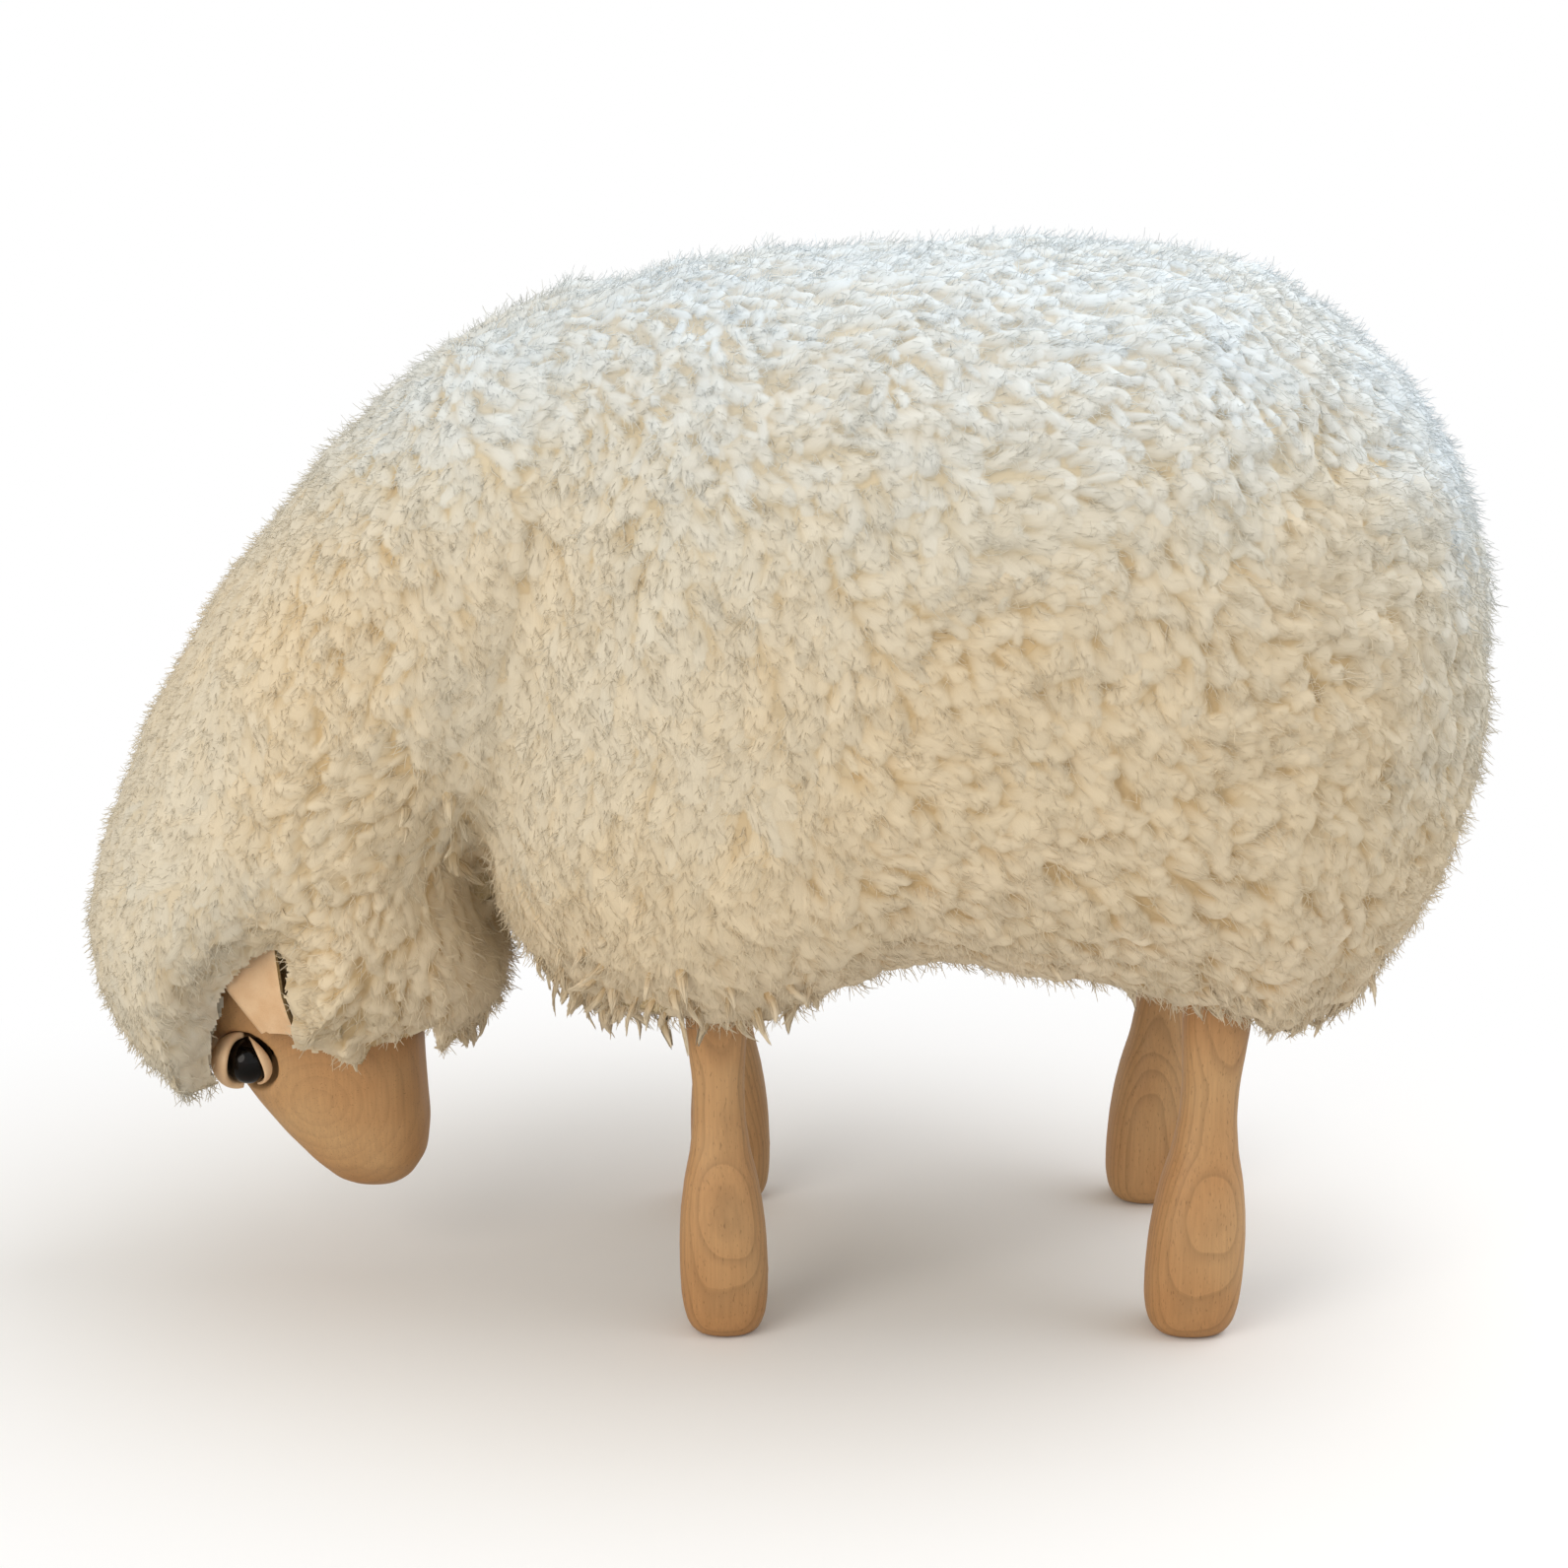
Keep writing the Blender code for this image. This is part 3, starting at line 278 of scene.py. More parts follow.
# Camera, and the lamps as name, place, target, width, watts and colour
CAMERA_PLACE = (0.005, -1.2293, 0.5027)
CAMERA_DOWN = math.radians(13.14)
CAMERA_LENS = 67.9
CAMERA_SENSOR = 36.0
LAMPS = (
    ("overhead_softbox", (0.70, 0.15, 1.35), (0.10, 0.0, 0.25), 1.6, 11.6, "F7FAFF"),
    ("front_softbox", (-1.10, -1.40, 0.88), (0.0, 0.0, 0.2), 1.3, 14.2, "FFF8EE"),
    ("rump_softbox", (1.30, -0.45, 0.95), (0.15, 0.0, 0.28), 0.9, 2.4, "F6F9FF"),
)
FLOOR_HALF = 4.0

# A wave texture of scale 1 repeats once in this length
WAVE_LENGTH = 0.31416
GROWTH_RING = 0.0026
HEAD_RING = 0.0060
PLY_PAIR = 0.0028
CALICO_THREAD = 0.0008


# Nodes and colours

def linear(hex_colour):
    """An sRGB hex colour as linear RGBA."""
    channels = []
    for i in (0, 2, 4):
        value = int(hex_colour[i:i + 2], 16) / 255
        channels.append(value / 12.92 if value <= 0.04045 else ((value + 0.055) / 1.055) ** 2.4)
    return (*channels, 1.0)


def grey(level):
    """A linear grey as RGBA."""
    return (level, level, level, 1.0)


def join(tree, source, target):
    """Link an output, or the first output of a node, to a socket."""
    tree.links.new(source.outputs[0] if isinstance(source, bpy.types.Node) else source, target)


def add_node(tree, kind, values=(), links=(), stops=(), **settings):
    """A node with its settings, the fixed values of its sockets, the links into it and the
    stops of its colour ramp."""
    node = tree.nodes.new("ShaderNode" + kind)
    for key, value in settings.items():
        setattr(node, key, value)
    for socket, value in dict(values).items():
        node.inputs[socket].default_value = value
    for socket, source in dict(links).items():
        join(tree, source, node.inputs[socket])
    for i, (place, colour) in enumerate(stops):
        element = node.color_ramp.elements[i] if i < 2 else node.color_ramp.elements.new(place)
        element.position = place
        element.color = linear(colour) if isinstance(colour, str) else colour
    return node


def new_material(name, **values):
    """A material with its shader's fixed values, ready for its pattern, and its node tree."""
    material = bpy.data.materials.new(name)
    material.use_nodes = True
    for key, value in values.items():
        material.node_tree.nodes["Principled BSDF"].inputs[key.replace("_", " ")].default_value = value
    return material, material.node_tree


def finished(material, colour, gloss=None, relief=None, strength=0.0, depth=0.0):
    """The material with its colour, gloss and relief led into its shader. The depth is in metres."""
    tree = material.node_tree
    sockets = tree.nodes["Principled BSDF"].inputs
    join(tree, colour, sockets["Base Color"])
    if gloss:
        join(tree, gloss, sockets["Roughness"])
    if relief:
        bump = add_node(tree, "Bump", {"Strength": strength, "Distance": depth}, {"Height": relief})
        join(tree, bump, sockets["Normal"])
    return material


# Materials

def curly_wool():
    """Washed sheep's wool: dull cream locks, darker and tanner towards the hide, partly from lanolin and
    partly as painted shade between the locks, with fine fibres along each lock. Painted light makes them
    paler and cooler on the back, neck, rump and shoulder and warmer low on the flank."""
    material, tree = new_material("curly_wool", Roughness=0.90, Sheen_Weight=0.05, Sheen_Roughness=0.5,
                                  IOR=1.45, Specular_IOR_Level=0.12, Sheen_Tint=linear("FFF8EA"))
    lock = add_node(tree, "UVMap", uv_map="LockMap")
    height, tone, tint_and_light = (add_node(tree, "Attribute", attribute_name=name).outputs["Fac"]
                          for name in ("height", "tone", "tint_and_light"))
    # Tip colours run from pale cream to cool white. The cool white and the paler zones are painted light
    # from above and from the rear.
    tip = add_node(tree, "ValToRGB", links={0: tint_and_light}, stops=(
        (0.0, "EDDDC2"), (1.0, "E2EBF0"), (0.30, "E2D2B5"), (0.62, "DED8C8")))
    # Root colours, darker and tanner: partly lanolin, partly painted shade in the crevices between the
    # locks.
    root = add_node(tree, "ValToRGB", links={0: tint_and_light}, stops=(
        (0.0, "C9AA7E"), (1.0, "D8D9D4"), (0.30, "D1B991"), (0.62, "D7CBB1")))
    rise = add_node(tree, "MapRange", {1: 0.10, 2: 0.75}, {0: height}, interpolation_type="SMOOTHSTEP")
    along = add_node(tree, "Mix", links={0: rise, 6: root, 7: tip}, data_type="RGBA")
    fibre_place = add_node(tree, "Mapping", {"Scale": (2.6, 30.0, 1.0)}, {0: lock})
    fibres = add_node(tree, "TexNoise", {"Scale": 1.0, "Detail": 3.0, "Roughness": 0.6}, {0: fibre_place})
    streak = add_node(tree, "MapRange", {1: 0.3, 2: 0.7, 3: 0.95, 4: 1.02}, {0: fibres})
    shade = add_node(tree, "MapRange", {3: 0.94, 4: 1.02}, {0: tone})
    depth = add_node(tree, "Math", links={0: streak, 1: shade}, operation="MULTIPLY")
    colour = add_node(tree, "VectorMath", links={0: along.outputs[2], "Scale": depth}, operation="SCALE")
    return finished(material, colour, relief=fibres, strength=0.4, depth=0.0005)


def woolly_hide():
    """The dense under-wool next to the hide: tan and matt, in small clumps 2 mm across."""
    material, tree = new_material("woolly_hide", Roughness=0.95, IOR=1.45, Specular_IOR_Level=0.15)
    place = add_node(tree, "TexCoord").outputs["Object"]
    clumps = add_node(tree, "TexNoise", {"Scale": 480.0, "Detail": 4.0, "Roughness": 0.65}, {0: place})
    colour = add_node(tree, "ValToRGB", links={0: clumps}, stops=((0.30, "C2AA80"), (0.70, "D6C5A2")))
    return finished(material, colour, relief=clumps, strength=0.8, depth=0.002)


def waxed_beech(name, pith, turn, ring=GROWTH_RING, contrast=0.5):
    """Steamed beech, sanded and waxed: pinkish tan growth rings 2 to 3 mm apart round a pith
    beside the piece, or wider and fainter where they are cut at a slant, with short brown ray
    flecks along the grain and a low sheen."""
    material, tree = new_material(name, Roughness=0.5, IOR=1.5, Specular_IOR_Level=0.35)
    point = add_node(tree, "TexCoord").outputs["Object"]
    from_pith = add_node(tree, "VectorMath", {1: pith}, {0: point}, operation="SUBTRACT")
    place = add_node(tree, "VectorRotate", {"Rotation": turn}, {0: from_pith}, rotation_type="EULER_XYZ")
    sway = add_node(tree, "TexNoise", {"Scale": 16.0, "Detail": 2.0, "Roughness": 0.45}, {0: place})
    swayed = add_node(tree, "VectorMath", {1: (0.012, 0.012, 0.012)},
                      {0: sway.outputs["Color"], 2: place}, operation="MULTIPLY_ADD")
    rings = add_node(tree, "TexWave", {"Scale": WAVE_LENGTH / ring, "Distortion": 0.25, "Detail": 1.0,
                                       "Detail Scale": 0.2}, {0: swayed},
                     wave_type="RINGS", rings_direction="Z", wave_profile="SAW")
    ring_tone = add_node(tree, "ValToRGB", links={0: rings.outputs[1]}, stops=(
        (0.0, grey(1.0)), (1.0, grey(0.82)), (0.55, grey(0.97)), (0.86, grey(0.70)), (0.93, grey(0.60))))
    grain_place = add_node(tree, "Mapping", {"Scale": (900.0, 900.0, 26.0)}, {0: point})
    grain = add_node(tree, "TexNoise", {"Scale": 1.0, "Detail": 3.0, "Roughness": 0.55}, {0: grain_place})
    fleck_place = add_node(tree, "Mapping", {"Scale": (1500.0, 1500.0, 330.0)}, {0: place})
    flecks = add_node(tree, "TexNoise", {"Scale": 1.0, "Detail": 1.0}, {0: fleck_place})
    fleck_tone = add_node(tree, "MapRange", {1: 0.64, 2: 0.74, 3: 1.0, 4: 0.70}, {0: flecks})
    cloud = add_node(tree, "TexNoise", {"Scale": 22.0, "Detail": 2.0}, {0: place})
    base = add_node(tree, "ValToRGB", links={0: cloud}, stops=((0.30, "BA8A5A"), (0.70, "C69E70")))
    strength = add_node(tree, "MapRange", {1: 0.25, 2: 0.75, 3: 0.90, 4: 1.08}, {0: grain})
    ringed = add_node(tree, "Mix", {0: contrast}, {6: base, 7: ring_tone}, data_type="RGBA",
                      blend_type="MULTIPLY")
    scale = add_node(tree, "Math", links={0: strength, 1: fleck_tone}, operation="MULTIPLY")
    colour = add_node(tree, "VectorMath", links={0: ringed.outputs[2], "Scale": scale}, operation="SCALE")
    gloss = add_node(tree, "MapRange", {1: 0.3, 2: 0.7, 3: 0.44, 4: 0.60}, {0: grain})
    return finished(material, colour, gloss, relief=grain, strength=0.25, depth=0.0002)


def birch_ply():
    """Birch plywood: pale rotary-cut face, and 1.4 mm plies that show on the edges."""
    material, tree = new_material("birch_ply", Roughness=0.6)
    coordinate = add_node(tree, "TexCoord")
    place = coordinate.outputs["Object"]
    stretch = add_node(tree, "Mapping", {"Scale": (14.0, 260.0, 1.0)}, {0: place})
    face = add_node(tree, "TexNoise", {"Scale": 1.0, "Detail": 4.0, "Distortion": 0.6}, {0: stretch})
    plies = add_node(tree, "TexWave", {"Scale": WAVE_LENGTH / PLY_PAIR}, {0: place}, bands_direction="Z")
    face_colour = add_node(tree, "ValToRGB", links={0: face}, stops=((0.25, "C6A374"), (0.75, "E0C79C")))
    edge_colour = add_node(tree, "ValToRGB", links={0: plies.outputs[1]},
                           stops=((0.25, "9C7648"), (0.60, "D8BC8C")))
    facing = add_node(tree, "SeparateXYZ", links={0: coordinate.outputs["Normal"]})
    level = add_node(tree, "Math", links={0: facing.outputs[2]}, operation="ABSOLUTE")
    colour = add_node(tree, "Mix", links={0: level, 6: edge_colour, 7: face_colour}, data_type="RGBA")
    return finished(material, colour.outputs[2], relief=face, strength=0.2, depth=0.0003)


def tanned_leather():
    """Undyed vegetable-tanned leather: peach, smooth, with a fine 0.7 mm grain and faint
    darker clouds from handling."""
    material, tree = new_material("tanned_leather", Roughness=0.48, IOR=1.5, Specular_IOR_Level=0.4)
    place = add_node(tree, "TexCoord").outputs["Object"]
    grain = add_node(tree, "TexVoronoi", {"Scale": 1400.0}, {0: place},
                     feature="DISTANCE_TO_EDGE").outputs["Distance"]
    cloud = add_node(tree, "TexNoise", {"Scale": 90.0, "Detail": 5.0, "Roughness": 0.6}, {0: place})
    colour = add_node(tree, "ValToRGB", links={0: cloud}, stops=((0.28, "E3B98D"), (0.72, "F3D2AB")))
    crease = add_node(tree, "MapRange", {1: 0.0, 2: 0.12, 3: 0.93, 4: 1.0}, {0: grain})
    shade = add_node(tree, "VectorMath", links={0: colour, "Scale": crease}, operation="SCALE")
    return finished(material, shade, relief=grain, strength=0.3, depth=0.0002)


def leather_flesh_side(name, dark, light):
    """The flesh side or the cut edge of the same leather: browner than its face, rough and
    fibrous."""
    material, tree = new_material(name, Roughness=0.9, Specular_IOR_Level=0.2)
    place = add_node(tree, "TexCoord").outputs["Object"]
    fibres = add_node(tree, "TexNoise", {"Scale": 900.0, "Detail": 5.0, "Roughness": 0.7}, {0: place})
    colour = add_node(tree, "ValToRGB", links={0: fibres}, stops=((0.30, dark), (0.70, light)))
    return finished(material, colour, relief=fibres, strength=0.7, depth=0.0005)


def black_glass():
    """Blown black glass, polished: mirror gloss over a black that turns dark brown in places."""
    material, tree = new_material("black_glass", Roughness=0.05, IOR=1.45, Specular_IOR_Level=0.22)
    place = add_node(tree, "TexCoord").outputs["Object"]
    swirl = add_node(tree, "TexNoise", {"Scale": 120.0, "Detail": 2.0, "Distortion": 1.0}, {0: place})
    colour = add_node(tree, "ValToRGB", links={0: swirl}, stops=((0.45, "060504"), (0.85, "1C110B")))
    return finished(material, colour)


def upholstery_foam():
    """Cut polyurethane foam: pale yellow and matt, with open 1.5 mm cells."""
    material, tree = new_material("upholstery_foam", Roughness=0.95)
    place = add_node(tree, "TexCoord").outputs["Object"]
    cells = add_node(tree, "TexVoronoi", {"Scale": 650.0}, {0: place}).outputs["Distance"]
    colour = add_node(tree, "ValToRGB", links={0: cells}, stops=((0.10, "CDBF98"), (0.65, "EDE5CC")))
    return finished(material, colour, relief=cells, strength=0.6, depth=0.0008)


def calico_weave():
    """Unbleached calico: a plain weave of 0.8 mm threads, drawn as coarse as it needs to
    show, with darker slubs."""
    material, tree = new_material("calico_weave", Roughness=0.9, Sheen_Weight=0.1)
    place = add_node(tree, "TexCoord").outputs["Object"]
    warp, weft = (add_node(tree, "TexWave", {"Scale": WAVE_LENGTH / CALICO_THREAD}, {0: place},
                           bands_direction=way).outputs[1] for way in "XY")
    weave = add_node(tree, "Math", links={0: warp, 1: weft}, operation="MULTIPLY")
    slub_place = add_node(tree, "Mapping", {"Scale": (60.0, 900.0, 1.0)}, {0: place})
    slubs = add_node(tree, "TexNoise", {"Scale": 1.0, "Detail": 2.0}, {0: slub_place})
    colour = add_node(tree, "ValToRGB", links={0: weave}, stops=((0.0, "A99C80"), (0.7, "D9CFB6")))
    shade = add_node(tree, "MapRange", {1: 0.3, 2: 0.7, 3: 0.86, 4: 1.05}, {0: slubs})
    tinted = add_node(tree, "VectorMath", links={0: colour, "Scale": shade}, operation="SCALE")
    return finished(material, tinted, relief=weave, strength=0.6, depth=0.0004)


def zinc_steel():
    """Zinc-plated steel: grey and slightly bluish, with fine spangle and soft wear."""
    material, tree = new_material("zinc_steel", Metallic=1.0, Roughness=0.35)
    place = add_node(tree, "TexCoord").outputs["Object"]
    spangle = add_node(tree, "TexNoise", {"Scale": 700.0, "Detail": 3.0}, {0: place})
    colour = add_node(tree, "ValToRGB", links={0: spangle}, stops=((0.30, "9EA2A6"), (0.70, "C6C9CC")))
    gloss = add_node(tree, "MapRange", {1: 0.3, 2: 0.7, 3: 0.25, 4: 0.45}, {0: spangle})
    return finished(material, colour, gloss)


def pale_floor():
    """Matt white floor paper. To the camera it turns to plain white away from the stool."""
    material, tree = new_material("pale_floor", Roughness=0.9, Specular_IOR_Level=0.0)
    seen = add_node(tree, "LightPath").outputs["Is Camera Ray"]
    paper = add_node(tree, "Mix", {6: (0.66, 0.65, 0.63, 1.0), 7: grey(0.93)}, {0: seen}, data_type="RGBA")
    finished(material, paper.outputs[2])
    place = add_node(tree, "TexCoord").outputs["Object"]
    across = add_node(tree, "VectorMath", {1: (1.0, 1.3, 0.0)}, {0: place}, operation="MULTIPLY")
    distance = add_node(tree, "VectorMath", links={0: across}, operation="LENGTH").outputs["Value"]
    fade = add_node(tree, "MapRange", {1: 0.22, 2: 0.62}, {0: distance}, interpolation_type="SMOOTHSTEP")
    share = add_node(tree, "Math", links={0: fade, 1: seen}, operation="MULTIPLY")
    white = add_node(tree, "Emission")
    mixed = add_node(tree, "MixShader", links={0: share, 1: tree.nodes["Principled BSDF"], 2: white})
    join(tree, mixed, tree.nodes["Material Output"].inputs[0])
    return material


# Mesh tools

def placed(name, data):
    """A new object in the scene."""
    thing = bpy.data.objects.new(name, data)
    bpy.context.scene.collection.objects.link(thing)
    return thing


def link_object(name, mesh, materials):
    """A piece in the scene, riding on the stool, with its materials."""
    piece = placed(name, mesh)
    for material in materials:
        mesh.materials.append(material)
    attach(piece, "root")
    return piece


def with_modifiers(name, mesh, *modifiers):
    """A new mesh: the given one after modifiers, each given as its kind and its settings."""
    helper = placed(name + "_helper", mesh)
    for kind, settings in modifiers:
        modifier = helper.modifiers.new(kind.lower(), kind)
        for key, value in settings.items():
            setattr(modifier, key, value)
    graph = bpy.context.evaluated_depsgraph_get()
    result = bpy.data.meshes.new_from_object(helper.evaluated_get(graph))
    result.name = name
    bpy.data.objects.remove(helper)
    result.materials.clear()
    return result


def as_mesh(name, form):
    """A mesh from a bmesh, which is given up."""
    mesh = bpy.data.meshes.new(name)
    form.to_mesh(mesh)
    form.free()
    return mesh


def evened(name, nodes, voxel, rounds, cover=None):
    """A mesh of even small faces over one or more CAD solids, with the facets smoothed out."""
    joined = bmesh.new()
    for node in nodes:
        joined.from_mesh(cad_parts[node].data)
    if cover:
        joined.from_mesh(cover)
    even = {"mode": "VOXEL", "voxel_size": voxel}
    soften = {"factor": 0.5, "iterations": rounds}
    result = with_modifiers(name, as_mesh(name, joined), ("REMESH", even), ("SMOOTH", soften))
    result.shade_smooth()
    return result


def outline_solid(name, outline, spans):
    """A solid with an outline in side view, for each span of it across the animal."""
    solid = bmesh.new()
    for span in spans:
        rows = [[solid.verts.new((x, y, z)) for x, z in outline] for y in span]
        for i in range(len(outline)):
            j = (i + 1) % len(outline)
            solid.faces.new((rows[0][i], rows[0][j], rows[1][j], rows[1][i]))
        solid.faces.new(rows[0])
        solid.faces.new(rows[1])
    bmesh.ops.recalc_face_normals(solid, faces=solid.faces)
    return as_mesh(name, solid)


def mesh_array(items, key, width, kind=np.float32):
    """One row of values for each item of a mesh."""
    values = np.empty(len(items) * width, dtype=kind)
    items.foreach_get(key, values)
    return values.reshape(-1, width)


def mesh_points(mesh):
    """Points, their normals and the triangles of a mesh, as arrays."""
    mesh.calc_loop_triangles()
    return (mesh_array(mesh.vertices, "co", 3).astype(float),
            mesh_array(mesh.vertex_normals, "vector", 3).astype(float),
            mesh_array(mesh.loop_triangles, "vertices", 3, np.int32))


def mesh_quads(mesh):
    """Point numbers of the faces of a mesh of quads."""
    return mesh_array(mesh.loops, "vertex_index", 1, np.int32).reshape(-1, 4)


def set_points(mesh, points):
    """Move the points of a mesh."""
    mesh.vertices.foreach_set("co", points.astype(np.float32).ravel())
    mesh.update()


def array_mesh(name, points, corners, sizes, facing=None, maps=(), traits=()):
    """A mesh from arrays: points, the point numbers of its faces' corners and how many corners
    each face has, with normals and traits for the points and maps for the corners."""
    mesh = bpy.data.meshes.new(name)
    mesh.vertices.add(len(points))
    mesh.vertices.foreach_set("co", points.astype(np.float32).ravel())
    mesh.loops.add(len(corners))
    mesh.loops.foreach_set("vertex_index", corners.astype(np.int32))
    mesh.polygons.add(len(sizes))
    mesh.polygons.foreach_set("loop_start", (np.cumsum(sizes) - sizes).astype(np.int32))
    mesh.update(calc_edges=True)
    for layer, values in maps:
        uv = mesh.uv_layers.new(name=layer, do_init=False)
        uv.data.foreach_set("uv", values.astype(np.float32).ravel())
    for key, values in traits:
        attribute = mesh.attributes.new(key, "FLOAT", "POINT")
        attribute.data.foreach_set("value", values.astype(np.float32))
    if facing is not None:
        mesh.shade_smooth()
        mesh.normals_split_custom_set_from_vertices(facing.astype(np.float32))
    return mesh


def skin(name, points, faces):
    """A smooth mesh of points and faces, with its faces turned outwards."""
    mesh = bpy.data.meshes.new(name)
    mesh.from_pydata(points, [], faces)
    turned = bmesh.new()
    turned.from_mesh(mesh)
    bmesh.ops.recalc_face_normals(turned, faces=turned.faces)
    turned.to_mesh(mesh)
    turned.free()
    mesh.shade_smooth()
    return mesh


def ring_faces(count, sides):
    """Faces between each ring of points and the next one."""
    faces = []
    for i in range(count - 1):
        for j in range(sides):
            k = (j + 1) % sides
            faces.append((i * sides + j, i * sides + k, (i + 1) * sides + k, (i + 1) * sides + j))
    return faces


def closed_rings(name, rings):
    """A closed skin through an array of rings, with a fan of faces at each end."""
    count, sides = rings.shape[:2]
    points = rings.reshape(-1, 3).tolist()
    points += [rings[0].mean(axis=0).tolist(), rings[-1].mean(axis=0).tolist()]
    faces = ring_faces(count, sides)
    last = (count - 1) * sides
    for j in range(sides):
        k = (j + 1) % sides
        faces.append((k, j, count * sides))
        faces.append((last + j, last + k, count * sides + 1))
    return skin(name, points, faces)


def unit(vectors):
    """Vectors brought to length one."""
    return vectors / np.maximum(np.linalg.norm(vectors, axis=-1, keepdims=True), 1e-9)


def ramp(low, high, values):
    """Zero up to low, one from high on, and a smooth rise between them."""
    share = np.clip((values - low) / (high - low), 0, 1)
    return share * share * (3 - 2 * share)


def drift(points, size, seed, waves=5):
    """A slow random field from -1 to 1 that changes over about the given size."""
    random = np.random.default_rng(seed)
    total = np.zeros(len(points))
    for _ in range(waves):
        wave = random.normal(size=3) / size
        total += np.sin(points @ wave * 2.2 + random.uniform(0, 6.28))
    return np.clip(total / 2.6, -1, 1)


# The bare face and the skin of the fleece

def face_reach(points):
    """How far points lie from the middle of the bare face in side view. One is its rim."""
    x, z = points[..., 0] - FACE_MIDDLE[0], points[..., 2] - FACE_MIDDLE[1]
    c, s = math.cos(FACE_TILT), math.sin(FACE_TILT)
    return np.hypot((x * c - z * s) / FACE_HALF[0], (x * s + z * c) / FACE_HALF[1])


def face_cover():
    """Solids that close the opening in the head's wool on both sides, for the locks to lie on."""
    c, s = math.cos(FACE_TILT), math.sin(FACE_TILT)
    outline = []
    for angle in np.linspace(0, 2 * math.pi, COVER_POINTS, endpoint=False):
        a, b = COVER_HALF[0] * math.cos(angle), COVER_HALF[1] * math.sin(angle)
        outline.append((FACE_MIDDLE[0] + a * c + b * s, max(FACE_MIDDLE[1] - a * s + b * c, BROW_BOTTOM)))
    return outline_solid("face_cover", outline, [[sign * y for y in COVER_WIDTHS] for _, sign in SIDES])


def inside_outline(x, z, outline):
    """Which places in side view lie inside an outline."""
    inside = np.zeros(x.shape, dtype=bool)
    for (x0, z0), (x1, z1) in zip(outline, outline[1:] + outline[:1]):
        crosses = (z0 > z) != (z1 > z)
        inside ^= crosses & (x < (x1 - x0) * (z - z0) / (z1 - z0 + 1e-12) + x0)
    return inside


def face_limit(points):
    """Half width of the wool near the bare face: close to the head at its edge, and rounding
    out from there."""
    x, z = points[:, 0], points[:, 2]
    nearest = np.full(len(points), 1e9)
    width = np.zeros(len(points))
    for (x0, z0, w0), (x1, z1, w1) in zip(FACE_EDGE, FACE_EDGE[1:] + FACE_EDGE[:1]):
        run = (x1 - x0) ** 2 + (z1 - z0) ** 2
        share = np.clip(((x - x0) * (x1 - x0) + (z - z0) * (z1 - z0)) / run, 0, 1)
        distance = np.hypot(x - x0 - share * (x1 - x0), z - z0 - share * (z1 - z0))
        nearer = distance < nearest
        nearest[nearer] = distance[nearer]
        width[nearer] = (w0 + (w1 - w0) * share)[nearer]
    nearest[inside_outline(x, z, BARE_FACE)] = 0.0
    return width + FACE_WOOL_SWELL * (1 - np.exp(-nearest / FACE_WOOL_ROUND)) + FACE_WOOL_SLOPE * nearest


def fleece_skin(name, voxel, cover=None):
    """An even skin over the fleece's solids, drawn in towards the head round the bare face,
    where its wool is clipped."""
    mesh = evened(name, FLEECE_NODES, voxel, SKIN_ROUNDS, cover)
    points = mesh_points(mesh)[0]
    limit = np.where(points[:, 0] < CLIPPED_END, face_limit(points), 1.0)
    width = np.abs(points[:, 1])
    least = np.minimum(width, limit)
    most = np.maximum(width, limit)
    rounded = least - BROW_ROUND * np.log1p(np.exp(-(most - least) / BROW_ROUND))
    points[:, 1] = np.sign(points[:, 1]) * np.where(width > CLIPPED_WIDTH, rounded, least)
    set_points(mesh, points)
    return mesh


def spine_direction(points):
    """For each point, the way out from the nearest place on the animal's middle line."""
    best = np.full(len(points), 1e9)
    out = np.zeros_like(points)
    for (x0, z0), (x1, z1) in zip(SPINE, SPINE[1:]):
        start = np.array((x0, 0.0, z0))
        run = np.array((x1 - x0, 0.0, z1 - z0))
        share = np.clip((points - start) @ run / (run @ run), 0, 1)
        away = points - (start + share[:, None] * run)
        distance = np.linalg.norm(away, axis=1)
        nearer = distance < best
        best[nearer] = distance[nearer]
        out[nearer] = away[nearer]
    return unit(out)


def core_tree():
    """The padding and frame inside the fleece, as one tree for nearest-place questions."""
    points, faces = [], []
    for name in FOAM_NODES + CORE_NODES:
        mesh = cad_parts[name].data
        start = len(points)
        points += [vert.co[:] for vert in mesh.vertices]
        faces += [[start + number for number in face.vertices] for face in mesh.polygons]
    return BVHTree.FromPolygons(points, faces)


def shown_outside(middle, facing):
    """Which patches of the fleece have air in front of them, not padding or wood."""
    outward = (facing * spine_direction(middle)).sum(axis=1)
    shown = np.ones(len(middle), dtype=bool)
    tree = core_tree()
    ahead = middle + facing * AIR_TEST
    for index in np.nonzero(outward < OUTWARD)[0].tolist():
        place = Vector(ahead[index])
        hit, normal, _, _ = tree.find_nearest(place, 3 * AIR_TEST)
        if hit is not None and (hit - place).dot(normal) > 0:
            shown[index] = False
    return shown


# The locks of the fleece

